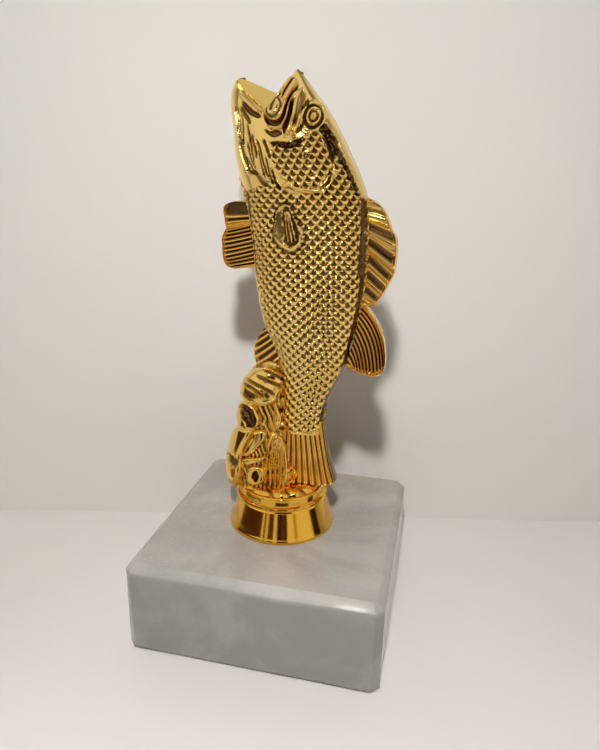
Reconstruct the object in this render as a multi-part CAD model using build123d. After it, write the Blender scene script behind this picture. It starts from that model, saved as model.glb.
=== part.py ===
from build123d import *
import math
import os

# A fishing trophy. A gilt bass stands on its tail on a round pedestal, which is screwed on a marble block.
# Millimetres, +Z up. The origin is on the table, under the centre of the block.
# The fish is a hollow moulding in two halves that meet on the plane Y = 0.
# Its back faces +X, its belly -X and its left side -Y, the same way as the front of the block.

# Marble block and the pads that it stands on
BLOCK_SIDE = 80.0
BLOCK_HEIGHT = 30.0
BLOCK_BEVEL = 2.4
BLOCK_FOOT_BEVEL = 0.5
PAD_DIAMETER = 12.0
PAD_THICKNESS = 0.6
PAD_INSET = 9.0
COUNTERBORE_DIAMETER = 16.0
COUNTERBORE_DEPTH = 12.0

# Stud, nuts and washers, all of size M6
STUD_DIAMETER = 6.0
STUD_END = 2.4
STUD_CHAMFER = 0.8
STUD_HOLE_CLEARANCE = 0.5
THREAD_CLEARANCE = 0.05
NUT_ACROSS_FLATS = 10.0
NUT_HEIGHT = 5.0
NUT_CHAMFER = 0.6
NUT_POCKET_CLEARANCE = 0.1
CAPTIVE_NUT_LIFT = 4.0
WASHER_BORE = 6.4
WASHER_DIAMETER = 12.0
WASHER_THICKNESS = 1.6
LOCK_WASHER_BORE = 6.1
LOCK_WASHER_DIAMETER = 11.8
LOCK_WASHER_THICKNESS = 1.6
LOCK_WASHER_SLIT = 0.8
LOCK_WASHER_SLIT_ANGLE = 20.0

# Pedestal
PEDESTAL_HEIGHT = 14.6
PEDESTAL_RADIUS = 18.0
LIP_HEIGHT = 1.2
FLARE_HEIGHT = 9.6
FLARE_TOP_RADIUS = 15.0
FLARE_HOLLOW = 0.7
BEAD_RADIUS = 0.5
COLLAR_RADIUS = 14.3
COLLAR_EDGE = 0.6
BOSS_DIAMETER = 16.0
RIB_THICKNESS = 1.6
RIB_ANGLES = (45.0, 135.0)

# Fish: the length runs from the pedestal to the snout, the depth from belly to back
FISH_LENGTH = 127.4
FISH_DEPTH = 35.0
FISH_THICKNESS = 23.0
WALL = 1.6
FIN_THICKNESS = 1.6
FIN_RAY_THICKNESS = 3.0
FIN_RIM = 0.9
TAIL_THICKNESS = 4.0
TAIL_RAY_THICKNESS = 5.4
TAIL_GROOVE_WIDTH = 0.9
MOUTH_WEB_THICKNESS = 2.0
LOW_RELIEF = 0.5
HIGH_RELIEF = 1.1
SPLASH_THICKNESS = 23.0

# Pins that line the two halves up before they are glued
PIN_DIAMETER = 2.4
PIN_LENGTH = 3.0
PIN_BOSS_DIAMETER = 5.2
SOCKET_CLEARANCE = 0.1
SOCKET_SPARE_DEPTH = 0.4

# One overrun for all cuts and for what is trimmed at the parting plane
OVERRUN = 1.0

# Angles from the back round to the belly at which a slice of the fish or splash has its points
SLICE_DEGREES = range(-15, 196, 15)

# Heights and half thicknesses that follow from the sizes above
BLOCK_FOOT = PAD_THICKNESS
MARBLE_TOP = BLOCK_FOOT + BLOCK_HEIGHT
WASHER_SEAT = BLOCK_FOOT + COUNTERBORE_DEPTH
FLAT_WASHER_FOOT = WASHER_SEAT - WASHER_THICKNESS
LOCK_WASHER_FOOT = FLAT_WASHER_FOOT - LOCK_WASHER_THICKNESS
CLAMP_NUT_FOOT = LOCK_WASHER_FOOT - NUT_HEIGHT
STUD_FOOT = CLAMP_NUT_FOOT - STUD_END
CAPTIVE_NUT_FOOT = MARBLE_TOP + CAPTIVE_NUT_LIFT
STUD_TOP = CAPTIVE_NUT_FOOT + NUT_HEIGHT + STUD_END
PEDESTAL_TOP = MARBLE_TOP + PEDESTAL_HEIGHT
STUD_HOLE_DIAMETER = STUD_DIAMETER + 2 * STUD_HOLE_CLEARANCE
HALF_FISH = FISH_THICKNESS / 2
HALF_SPLASH = SPLASH_THICKNESS / 2

# Slices of the fish from the tail to the snout. Each has its height as a share of the length, the places of
# the belly and the back as shares of the depth, and the bulge to one side as a share of the half thickness.
BODY_SLICE_SHARES = (
    (0.12, -0.04, 0.41, 0.28), (0.16, -0.025, 0.40, 0.31), (0.20, -0.005, 0.41, 0.37),
    (0.25, 0.01, 0.45, 0.46), (0.30, 0.0, 0.535, 0.57), (0.35, -0.04, 0.60, 0.69),
    (0.40, -0.12, 0.64, 0.78), (0.45, -0.19, 0.68, 0.86), (0.50, -0.23, 0.715, 0.93),
    (0.56, -0.257, 0.735, 0.98), (0.62, -0.275, 0.74, 1.00),
    (0.68, -0.31, 0.73, 1.01), (0.73, -0.345, 0.71, 1.01), (0.78, -0.39, 0.64, 0.99),
    (0.83, -0.43, 0.545, 0.94), (0.88, -0.45, 0.44, 0.83), (0.92, -0.463, 0.335, 0.67),
    (0.95, -0.455, 0.25, 0.52), (0.98, -0.415, 0.16, 0.31), (1.00, -0.38, 0.09, 0.17),
)
BODY_ROUNDNESS = 2.2
CAVITY_FOOT_SHARE = 0.16
CAVITY_TOP_SHARE = 0.88

# Side view outlines, as shares of the fish's depth and length
MOUTH_NOTCH_SHARES = ((-0.60, 0.975), (-0.425, 0.978), (-0.39, 0.984), (-0.27, 0.975), (-0.10, 0.951),
                      (-0.065, 0.957), (-0.03, 0.973), (0.045, 0.992), (0.06, 1.03), (-0.60, 1.03))
MOUTH_POCKET_SHARES = ((-0.375, 0.99), (-0.36, 0.950), (-0.275, 0.929), (-0.18, 0.908), (-0.13, 0.905),
                       (-0.075, 0.918), (-0.02, 0.954), (-0.05, 0.99))
SPINY_FIN_SHARES = ((0.70, 0.733), (0.845, 0.710), (0.905, 0.682), (0.975, 0.638), (0.97, 0.595),
                    (0.945, 0.555), (0.885, 0.520), (0.82, 0.489))
SPINY_FIN_ROOT_SHARES = ((0.64, 0.480), (0.64, 0.735))
SOFT_FIN_SHARES = ((0.82, 0.489), (0.865, 0.447), (0.91, 0.407), (0.93, 0.364), (0.915, 0.331),
                   (0.87, 0.316), (0.785, 0.313), (0.685, 0.323), (0.59, 0.330))
SOFT_FIN_ROOT_SHARES = ((0.52, 0.36), (0.64, 0.489))
FRONT_PELVIC_FIN_SHARES = ((-0.33, 0.719), (-0.45, 0.717), (-0.53, 0.710), (-0.55, 0.697), (-0.535, 0.675),
                           (-0.53, 0.656))
FRONT_PELVIC_FIN_ROOT_SHARES = ((-0.24, 0.650), (-0.27, 0.719))
REAR_PELVIC_FIN_SHARES = ((-0.53, 0.657), (-0.56, 0.637), (-0.573, 0.615), (-0.565, 0.590), (-0.54, 0.569),
                          (-0.455, 0.559), (-0.24, 0.561))
REAR_PELVIC_FIN_ROOT_SHARES = ((-0.20, 0.565), (-0.22, 0.657))
ANAL_FIN_SHARES = ((-0.14, 0.425), (-0.225, 0.398), (-0.265, 0.372), (-0.275, 0.345), (-0.245, 0.316))
ANAL_FIN_ROOT_SHARES = ((0.10, 0.310), (0.02, 0.400))
TAIL_SHARES = ((0.39, 0.18), (0.43, 0.11), (0.48, 0.061), (0.525, 0.022), (0.515, 0.003))
TAIL_FOOT_SHARES = ((0.42, 0.002), (0.36, -0.009), (-0.17, -0.009), (0.05, 0.09), (0.13, 0.18))

# Where the rays of each fin start and end, in the same shares, and how many there are
SPINE_COUNT = 6
SPINE_FIRST_SHARES = ((0.72, 0.690), (1.02, 0.655))
SPINE_LAST_SHARES = ((0.69, 0.512), (0.90, 0.470))
SPINE_WIDTH = 1.5
SOFT_RAY_COUNT = 7
SOFT_RAY_FIRST_SHARES = ((0.78, 0.480), (0.94, 0.36))
SOFT_RAY_LAST_SHARES = ((0.58, 0.352), (0.66, 0.318))
SOFT_RAY_WIDTH = 0.8
FRONT_PELVIC_RAY_COUNT = 2
FRONT_PELVIC_RAY_FIRST_SHARES = ((-0.56, 0.680), (-0.30, 0.684))
FRONT_PELVIC_RAY_LAST_SHARES = ((-0.56, 0.664), (-0.28, 0.672))
REAR_PELVIC_RAY_COUNT = 8
REAR_PELVIC_RAY_FIRST_SHARES = ((-0.60, 0.636), (-0.26, 0.654))
REAR_PELVIC_RAY_LAST_SHARES = ((-0.57, 0.562), (-0.22, 0.580))
PELVIC_RAY_WIDTH = 0.7
ANAL_RAY_COUNT = 5
ANAL_RAY_FIRST_SHARES = ((-0.27, 0.378), (-0.14, 0.410))
ANAL_RAY_LAST_SHARES = ((-0.24, 0.316), (-0.03, 0.356))
ANAL_RAY_WIDTH = 0.7
TAIL_GROOVE_COUNT = 10
TAIL_GROOVE_FIRST_SHARES = ((0.16, 0.15), (-0.12, -0.015))
TAIL_GROOVE_LAST_SHARES = ((0.37, 0.15), (0.47, -0.015))

# What stands proud of the side of the head and body, in the same shares
UPPER_LIP_SHARES = ((0.06, 0.976), (0.11, 0.966), (0.10, 0.946), (0.065, 0.932), (0.04, 0.903),
                    (0.015, 0.892), (-0.03, 0.888), (-0.08, 0.893), (-0.105, 0.902), (-0.06, 0.926),
                    (0.0, 0.955))
CHEEK_RIDGE_SHARES = (((0.155, 0.958), (0.095, 0.937), (0.08, 0.905), (0.05, 0.882), (0.0, 0.872)),
                      ((0.165, 0.955), (0.17, 0.92), (0.165, 0.895), (0.125, 0.870)))
CHEEK_RIDGE_WIDTH = 1.8
LOWER_LIP_SHARES = ((-0.345, 0.950), (-0.29, 0.935), (-0.235, 0.922), (-0.15, 0.908))
LOWER_LIP_WIDTH = 1.2
THROAT_RAY_SHARES = (((-0.385, 0.925), (-0.365, 0.87), (-0.30, 0.815), (-0.215, 0.775)),
                     ((-0.36, 0.925), (-0.31, 0.87), (-0.24, 0.81), (-0.16, 0.765)),
                     ((-0.32, 0.92), (-0.255, 0.87), (-0.19, 0.81), (-0.11, 0.757)),
                     ((-0.19, 0.86), (-0.155, 0.82), (-0.115, 0.785), (-0.05, 0.750)))
THROAT_RAY_WIDTH = 1.1
GILL_COVER_SHARES = ((0.01, 0.847), (0.10, 0.838), (0.20, 0.848), (0.31, 0.872), (0.42, 0.826),
                     (0.465, 0.785), (0.41, 0.757), (0.28, 0.743), (0.16, 0.740), (0.065, 0.750),
                     (-0.025, 0.783), (-0.05, 0.815))
PECTORAL_FIN_SHARES = ((0.08, 0.722), (0.16, 0.695), (0.21, 0.670), (0.245, 0.650), (0.21, 0.629),
                       (0.12, 0.616), (0.04, 0.625), (-0.01, 0.650), (0.0, 0.685), (0.04, 0.714))
PECTORAL_RAY_SHARES = (((0.06, 0.708), (0.08, 0.68), (0.11, 0.64)),
                       ((0.085, 0.71), (0.115, 0.68), (0.15, 0.634)),
                       ((0.11, 0.706), (0.15, 0.68), (0.19, 0.640)))
PECTORAL_RAY_WIDTH = 0.8
EYE_PLACE_SHARES = (0.26, 0.902)
EYE_RING_RADIUS = 2.4
EYE_RING_WIDTH = 0.6
PUPIL_RADIUS = 1.2

# Slices of the splash at the belly side of the tail, from the foot up, with the same four shares
SPLASH_SLICE_SHARES = ((-0.010, -0.43, 0.26, 0.92), (0.04, -0.505, 0.13, 0.94), (0.09, -0.48, 0.075, 0.90),
                       (0.14, -0.435, 0.045, 0.82), (0.19, -0.39, 0.03, 0.72), (0.23, -0.355, 0.04, 0.64),
                       (0.27, -0.33, 0.06, 0.58), (0.30, -0.29, 0.055, 0.48), (0.32, -0.23, 0.035, 0.34),
                       (0.335, -0.17, 0.0, 0.17))
SPLASH_ROUNDNESS = 2.1
SPLASH_CAVITY_FOOT_SHARE = 0.025
SPLASH_CAVITY_TOP_SHARE = 0.28

# Leaves, scroll and folds that stand proud of the splash, in shares of the fish's depth and length
LEAF_SHARES = (
    ((-0.31, 0.265), (-0.24, 0.300), (-0.12, 0.322), (-0.01, 0.312), (0.025, 0.275), (-0.02, 0.248),
     (-0.13, 0.238), (-0.26, 0.243)),
    ((-0.41, 0.205), (-0.36, 0.235), (-0.29, 0.232), (-0.24, 0.20), (-0.26, 0.165), (-0.36, 0.160)),
    ((-0.455, 0.155), (-0.38, 0.158), (-0.345, 0.110), (-0.39, 0.050), (-0.45, 0.008), (-0.53, 0.020),
     (-0.53, 0.085)),
    ((-0.30, 0.155), (-0.20, 0.150), (-0.14, 0.110), (-0.18, 0.070), (-0.29, 0.050), (-0.35, 0.075),
     (-0.34, 0.120)),
)
SPLASH_RELIEF = 1.2
SCROLL_PLACE_SHARES = (-0.25, 0.025)
SCROLL_RADIUS = 2.9
SCROLL_HOLE_RADIUS = 1.3
FOLD_COUNT = 5
FOLD_FIRST_SHARES = ((-0.13, 0.055), (-0.14, 0.03), (-0.13, -0.008))
FOLD_LAST_SHARES = ((0.07, 0.050), (0.08, 0.025), (0.12, -0.008))
FOLD_WIDTH = 1.5

# Locating pins, in shares of the fish's depth and length
PIN_PLACE_SHARES = ((0.17, 0.930), (0.26, 0.53), (0.24, 0.31), (-0.30, 0.115))


def side_view(place):
    """Point of the side view, from shares of the fish's depth and length."""
    depth_share, length_share = place
    return (FISH_DEPTH * depth_share, PEDESTAL_TOP + FISH_LENGTH * length_share)


def side_outline(curve_shares, root_shares, inset=0.0):
    """Side view face with one smooth edge, drawn in by an inset, closed through its root in the body."""
    places = [Vector(*side_view(place)) for place in curve_shares]
    roots = [Vector(*side_view(place)) for place in root_shares]
    root_middle = (roots[0] + roots[-1]) / 2
    points = []
    for number, place in enumerate(places):
        before = places[max(number - 1, 0)]
        after = places[min(number + 1, len(places) - 1)]
        run = (after - before).normalized()
        inward = Vector(-run.Y, run.X)
        if inward.dot(root_middle - place) < 0:
            inward = inward * -1
        points.append(place + inward * inset)
    curve = Spline(*points)
    return make_face(curve + Polyline(curve @ 1, *roots, curve @ 0))


def side_leaf(shares):
    """Side view face with one smooth closed edge."""
    return make_face(Spline(*[side_view(place) for place in shares], periodic=True))


def side_polygon(shares):
    return make_face(Polyline(*[side_view(place) for place in shares], close=True))


def side_stroke(shares, width):
    """Pointed stroke of the side view that follows a line and is widest along its middle."""
    places = [Vector(*side_view(place)) for place in shares]
    edges = []
    for side in (-1, 1):
        points = [places[0]]
        for before, place, after in zip(places, places[1:], places[2:]):
            run = (after - before).normalized()
            points.append(place + Vector(-run.Y, run.X) * (side * width / 2))
        points.append(places[-1])
        edges.append(Spline(*points))
    return make_face(edges[0] + edges[1])


def to_side(face, half_thickness):
    """Solid from just past the parting plane out to the left, as thick as half of the piece."""
    return extrude(Plane.XZ.offset(-OVERRUN) * face, OVERRUN + half_thickness)


def fan_of_rays(first, last, count, width):
    """Straight rays from one line to another, spread evenly, in the side view."""
    rays = Sketch()
    for number in range(count):
        share = number / (count - 1)
        ends = []
        for first_end, last_end in zip(first, last):
            x1, z1 = side_view(first_end)
            x2, z2 = side_view(last_end)
            ends.append(Vector(x1 + (x2 - x1) * share, z1 + (z2 - z1) * share))
        run = ends[1] - ends[0]
        middle = (ends[0] + ends[1]) / 2
        turn = math.degrees(math.atan2(run.Y, run.X))
        rays += Pos(middle.X, middle.Y) * Rot(0, 0, turn) * Rectangle(run.length, width)
    return rays


def ribbed_fin(curve_shares, root_shares, rays):
    """Fin as thick as its rim and rays, with pockets sunk between them."""
    outline = side_outline(curve_shares, root_shares)
    pockets = side_outline(curve_shares, root_shares, FIN_RIM) - rays
    sunk = extrude(Plane.XZ.offset(FIN_THICKNESS / 2) * pockets, FIN_RAY_THICKNESS)
    return to_side(outline, FIN_RAY_THICKNESS / 2) - sunk


def rounded_slice(height, near_x, far_x, bulge, roundness):
    """Slice at one height: a super-ellipse on the left side that runs a little past the parting plane."""
    centre = (near_x + far_x) / 2
    reach = (far_x - near_x) / 2
    points = []
    for degrees in SLICE_DEGREES:
        angle = math.radians(degrees)
        across = math.copysign(abs(math.cos(angle)) ** (2 / roundness), math.cos(angle))
        out = math.copysign(abs(math.sin(angle)) ** (2 / roundness), math.sin(angle))
        points.append((centre - reach * across, -bulge * out))
    curve = Spline(*points)
    return Plane.XY.offset(height) * make_face(curve + Line(curve @ 1, curve @ 0))


def fish_form(growth, low_share, high_share):
    """Body and head without fins, grown outwards by a length, or shrunk if the growth is negative."""
    slices = []
    for height, belly, back, bulge in BODY_SLICE_SHARES:
        if low_share <= height <= high_share:
            slices.append(rounded_slice(
                PEDESTAL_TOP + FISH_LENGTH * height,
                FISH_DEPTH * belly - growth,
                FISH_DEPTH * back + growth,
                HALF_FISH * bulge + growth,
                BODY_ROUNDNESS,
            ))
    return loft(slices)


def splash_form(growth, low_share, high_share):
    slices = []
    for height, near, far, bulge in SPLASH_SLICE_SHARES:
        if low_share <= height <= high_share:
            slices.append(rounded_slice(
                PEDESTAL_TOP + FISH_LENGTH * height,
                FISH_DEPTH * near - growth,
                FISH_DEPTH * far + growth,
                HALF_SPLASH * bulge + growth,
                SPLASH_ROUNDNESS,
            ))
    return loft(slices)


def splash_relief():
    """Leaves, scroll and hanging folds, as raised patches of the splash's own form."""
    raised = Sketch()
    for shares in LEAF_SHARES:
        raised += side_leaf(shares)
    scroll_x, scroll_z = side_view(SCROLL_PLACE_SHARES)
    raised += Pos(scroll_x, scroll_z) * (Circle(SCROLL_RADIUS) - Circle(SCROLL_HOLE_RADIUS))
    for number in range(FOLD_COUNT):
        share = number / (FOLD_COUNT - 1)
        line = []
        for (x1, z1), (x2, z2) in zip(FOLD_FIRST_SHARES, FOLD_LAST_SHARES):
            line.append((x1 + (x2 - x1) * share, z1 + (z2 - z1) * share))
        raised += side_stroke(line, FOLD_WIDTH)
    return splash_form(SPLASH_RELIEF, -1, 1) & to_side(raised, HALF_SPLASH + 2 * SPLASH_RELIEF)


def fins():
    spiny = ribbed_fin(
        SPINY_FIN_SHARES,
        SPINY_FIN_ROOT_SHARES,
        fan_of_rays(SPINE_FIRST_SHARES, SPINE_LAST_SHARES, SPINE_COUNT, SPINE_WIDTH),
    )
    soft = ribbed_fin(
        SOFT_FIN_SHARES,
        SOFT_FIN_ROOT_SHARES,
        fan_of_rays(SOFT_RAY_FIRST_SHARES, SOFT_RAY_LAST_SHARES, SOFT_RAY_COUNT, SOFT_RAY_WIDTH),
    )
    front_pelvic = ribbed_fin(
        FRONT_PELVIC_FIN_SHARES,
        FRONT_PELVIC_FIN_ROOT_SHARES,
        fan_of_rays(FRONT_PELVIC_RAY_FIRST_SHARES, FRONT_PELVIC_RAY_LAST_SHARES, FRONT_PELVIC_RAY_COUNT,
                    PELVIC_RAY_WIDTH),
    )
    rear_pelvic = ribbed_fin(
        REAR_PELVIC_FIN_SHARES,
        REAR_PELVIC_FIN_ROOT_SHARES,
        fan_of_rays(REAR_PELVIC_RAY_FIRST_SHARES, REAR_PELVIC_RAY_LAST_SHARES, REAR_PELVIC_RAY_COUNT,
                    PELVIC_RAY_WIDTH),
    )
    anal = ribbed_fin(
        ANAL_FIN_SHARES,
        ANAL_FIN_ROOT_SHARES,
        fan_of_rays(ANAL_RAY_FIRST_SHARES, ANAL_RAY_LAST_SHARES, ANAL_RAY_COUNT, ANAL_RAY_WIDTH),
    )
    return spiny + soft + front_pelvic + rear_pelvic + anal


def tail():
    """Tail fan with grooves between its rays, open at the foot."""
    outline = side_outline(TAIL_SHARES, TAIL_FOOT_SHARES)
    grooves = fan_of_rays(TAIL_GROOVE_FIRST_SHARES, TAIL_GROOVE_LAST_SHARES, TAIL_GROOVE_COUNT,
                          TAIL_GROOVE_WIDTH)
    sunk = extrude(Plane.XZ.offset(TAIL_THICKNESS / 2) * grooves, TAIL_RAY_THICKNESS)
    return to_side(outline, TAIL_RAY_THICKNESS / 2) - sunk


def head_relief():
    """Gill cover, throat, cheeks, lips, eye and pectoral fin, as raised patches of the body's own form."""
    reach = HALF_FISH + 2 * HIGH_RELIEF
    eye_x, eye_z = side_view(EYE_PLACE_SHARES)
    low = side_leaf(GILL_COVER_SHARES) + side_leaf(PECTORAL_FIN_SHARES)
    for line in THROAT_RAY_SHARES:
        low += side_stroke(line, THROAT_RAY_WIDTH)
    low += side_stroke(LOWER_LIP_SHARES, LOWER_LIP_WIDTH)
    low += Pos(eye_x, eye_z) * (Circle(EYE_RING_RADIUS) - Circle(EYE_RING_RADIUS - EYE_RING_WIDTH))
    high = side_leaf(UPPER_LIP_SHARES) + Pos(eye_x, eye_z) * Circle(PUPIL_RADIUS)
    for line in CHEEK_RIDGE_SHARES:
        high += side_stroke(line, CHEEK_RIDGE_WIDTH)
    for line in PECTORAL_RAY_SHARES:
        high += side_stroke(line, PECTORAL_RAY_WIDTH)
    low_patches = fish_form(LOW_RELIEF, 0, 1) & to_side(low, reach)
    high_patches = fish_form(HIGH_RELIEF, 0, 1) & to_side(high, reach)
    return low_patches, high_patches


def pedestal():
    """Turned pedestal, hollow underneath, with a boss for the captive nut and ribs out to the skirt."""
    profile = Polyline((0, 0), (PEDESTAL_RADIUS, 0), (PEDESTAL_RADIUS, LIP_HEIGHT))
    flare_start = Vector(PEDESTAL_RADIUS, LIP_HEIGHT)
    flare_end = Vector(FLARE_TOP_RADIUS, FLARE_HEIGHT)
    flare_middle = (flare_start + flare_end) / 2 + Vector(-FLARE_HOLLOW, 0)
    flare = ThreePointArc(flare_start, flare_middle, flare_end)
    bead_top = FLARE_HEIGHT + 2 * BEAD_RADIUS
    bead = ThreePointArc(flare_end, (FLARE_TOP_RADIUS + BEAD_RADIUS, FLARE_HEIGHT + BEAD_RADIUS),
                         (FLARE_TOP_RADIUS, bead_top))
    collar = Polyline((FLARE_TOP_RADIUS, bead_top), (COLLAR_RADIUS, bead_top),
                      (COLLAR_RADIUS, PEDESTAL_HEIGHT - COLLAR_EDGE),
                      (COLLAR_RADIUS - COLLAR_EDGE, PEDESTAL_HEIGHT), (0, PEDESTAL_HEIGHT), (0, 0))
    body = revolve(Plane.XZ * make_face(profile + flare + bead + collar), Axis.Z)
    ceiling = PEDESTAL_HEIGHT - WALL
    hollow_top = COLLAR_RADIUS - WALL
    hollow = revolve(Plane.XZ * make_face(Polyline(
        (0, -OVERRUN), (PEDESTAL_RADIUS - WALL, -OVERRUN), (PEDESTAL_RADIUS - WALL, LIP_HEIGHT),
        (flare_middle.X - WALL, flare_middle.Y), (hollow_top, FLARE_HEIGHT), (hollow_top, ceiling),
        (0, ceiling), close=True)), Axis.Z)
    boss_blank = Cylinder(BOSS_DIAMETER / 2, PEDESTAL_HEIGHT, align=(Align.CENTER, Align.CENTER, Align.MIN))
    hollow -= boss_blank
    for angle in RIB_ANGLES:
        hollow -= Rot(0, 0, angle) * Box(2 * PEDESTAL_RADIUS, RIB_THICKNESS, 2 * PEDESTAL_HEIGHT)
    return Pos(0, 0, MARBLE_TOP) * (body - hollow)


def nut_prism(across_flats, height):
    """Hexagonal prism with two flats along the parting plane."""
    return extrude(RegularPolygon(across_flats / 2, 6, major_radius=False), height)


def fixing_hollow():
    """Stud hole and hexagonal nut pocket in the pedestal's boss."""
    hole_height = STUD_TOP + STUD_HOLE_CLEARANCE - MARBLE_TOP + OVERRUN
    hole = Pos(0, 0, MARBLE_TOP - OVERRUN) * Cylinder(
        STUD_HOLE_DIAMETER / 2, hole_height, align=(Align.CENTER, Align.CENTER, Align.MIN))
    pocket = Pos(0, 0, CAPTIVE_NUT_FOOT) * nut_prism(
        NUT_ACROSS_FLATS + 2 * NUT_POCKET_CLEARANCE, NUT_HEIGHT + NUT_POCKET_CLEARANCE)
    return hole + pocket


def pin_places():
    return [side_view(place) for place in PIN_PLACE_SHARES]


def cylinder_along_y(place, diameter, start_y, end_y):
    x, z = place
    disc = Plane.XZ.offset(-end_y) * Pos(x, z) * Circle(diameter / 2)
    return extrude(disc, end_y - start_y)


def half_figure():
    """Left half of the figure and pedestal, without pins or sockets."""
    fish = fish_form(0, 0, 1)
    low_patches, high_patches = head_relief()
    fish = fish + low_patches + high_patches
    fish -= to_side(side_polygon(MOUTH_NOTCH_SHARES), 2 * HALF_FISH)
    pocket = extrude(Plane.XZ.offset(MOUTH_WEB_THICKNESS / 2) * side_polygon(MOUTH_POCKET_SHARES),
                     2 * HALF_FISH)
    fish -= pocket
    figure = fish + fins() + tail() + splash_form(0, -1, 1) + splash_relief()
    cavity = fish_form(-WALL, CAVITY_FOOT_SHARE, CAVITY_TOP_SHARE)
    cavity += splash_form(-WALL, SPLASH_CAVITY_FOOT_SHARE, SPLASH_CAVITY_TOP_SHARE)
    for place in pin_places():
        cavity -= cylinder_along_y(place, PIN_BOSS_DIAMETER, -2 * HALF_FISH, 2 * HALF_FISH)
    figure -= cavity
    figure += pedestal()
    figure -= fixing_hollow()
    return split(figure, bisect_by=Plane.XZ, keep=Keep.TOP)


def shells():
    half = half_figure()
    left = half
    right = mirror(half, about=Plane.XZ)
    for place in pin_places():
        left += cylinder_along_y(place, PIN_DIAMETER, -OVERRUN, PIN_LENGTH)
        right -= cylinder_along_y(place, PIN_DIAMETER + 2 * SOCKET_CLEARANCE, -OVERRUN,
                                  PIN_LENGTH + SOCKET_SPARE_DEPTH)
    return left, right


def marble_block():
    block = Pos(0, 0, BLOCK_FOOT) * Box(BLOCK_SIDE, BLOCK_SIDE, BLOCK_HEIGHT,
                                        align=(Align.CENTER, Align.CENTER, Align.MIN))
    block = chamfer(block.edges().filter_by(Axis.Z), BLOCK_BEVEL)
    block = chamfer(block.faces().sort_by(Axis.Z)[-1].edges(), BLOCK_BEVEL)
    block = chamfer(block.faces().sort_by(Axis.Z)[0].edges(), BLOCK_FOOT_BEVEL)
    block -= Pos(0, 0, BLOCK_FOOT - OVERRUN) * Cylinder(
        STUD_HOLE_DIAMETER / 2, BLOCK_HEIGHT + 2 * OVERRUN, align=(Align.CENTER, Align.CENTER, Align.MIN))
    block -= Pos(0, 0, BLOCK_FOOT - OVERRUN) * Cylinder(
        COUNTERBORE_DIAMETER / 2, COUNTERBORE_DEPTH + OVERRUN, align=(Align.CENTER, Align.CENTER, Align.MIN))
    return block


def stud():
    rod = Pos(0, 0, STUD_FOOT) * Cylinder(STUD_DIAMETER / 2, STUD_TOP - STUD_FOOT,
                                          align=(Align.CENTER, Align.CENTER, Align.MIN))
    return chamfer(rod.edges().filter_by(GeomType.CIRCLE), STUD_CHAMFER)


def hex_nut(foot):
    """Hexagonal nut with its corners turned off at both ends."""
    corner_radius = NUT_ACROSS_FLATS / math.sqrt(3)
    blank = Cylinder(corner_radius, NUT_HEIGHT, align=(Align.CENTER, Align.CENTER, Align.MIN))
    blank = chamfer(blank.edges().filter_by(GeomType.CIRCLE), NUT_CHAMFER)
    nut = blank & nut_prism(NUT_ACROSS_FLATS, NUT_HEIGHT)
    nut -= Cylinder(STUD_DIAMETER / 2 + THREAD_CLEARANCE, 3 * NUT_HEIGHT)
    return Pos(0, 0, foot) * nut


def ring(foot, bore, diameter, thickness):
    return Pos(0, 0, foot) * extrude(Circle(diameter / 2) - Circle(bore / 2), thickness)


def lock_washer():
    """Spring washer, pressed flat, with its slanted slit."""
    washer = ring(LOCK_WASHER_FOOT, LOCK_WASHER_BORE, LOCK_WASHER_DIAMETER, LOCK_WASHER_THICKNESS)
    cutter = Rot(LOCK_WASHER_SLIT_ANGLE, 0, 0) * Box(
        LOCK_WASHER_DIAMETER, LOCK_WASHER_SLIT, 3 * LOCK_WASHER_THICKNESS)
    slit = Pos(LOCK_WASHER_DIAMETER / 2, 0, LOCK_WASHER_FOOT + LOCK_WASHER_THICKNESS / 2) * cutter
    return washer - slit


def felt_pad(side_x, side_y):
    place = BLOCK_SIDE / 2 - PAD_INSET
    return Pos(side_x * place, side_y * place, 0) * Cylinder(
        PAD_DIAMETER / 2, PAD_THICKNESS, align=(Align.CENTER, Align.CENTER, Align.MIN))


left_shell, right_shell = shells()
pieces = {
    "marble_block": marble_block(),
    "left_shell": left_shell,
    "right_shell": right_shell,
    "stud": stud(),
    "captive_nut": hex_nut(CAPTIVE_NUT_FOOT),
    "flat_washer": ring(FLAT_WASHER_FOOT, WASHER_BORE, WASHER_DIAMETER, WASHER_THICKNESS),
    "lock_washer": lock_washer(),
    "clamp_nut": hex_nut(CLAMP_NUT_FOOT),
}
for depth_name, side_y in (("front", -1), ("back", 1)):
    for side_name, side_x in (("left", -1), ("right", 1)):
        pieces[f"felt_pad_{depth_name}_{side_name}"] = felt_pad(side_x, side_y)

os.makedirs("parts", exist_ok=True)
for name, piece in pieces.items():
    export_step(piece, f"parts/{name}.step")
    print(name, round(piece.volume, 1))
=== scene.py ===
"""A fishing trophy: a gilt bass that stands on its tail on a round pedestal, screwed to a marble block."""

import math

import bmesh
import bpy
import numpy as np
from mathutils import Matrix, Vector


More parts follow.
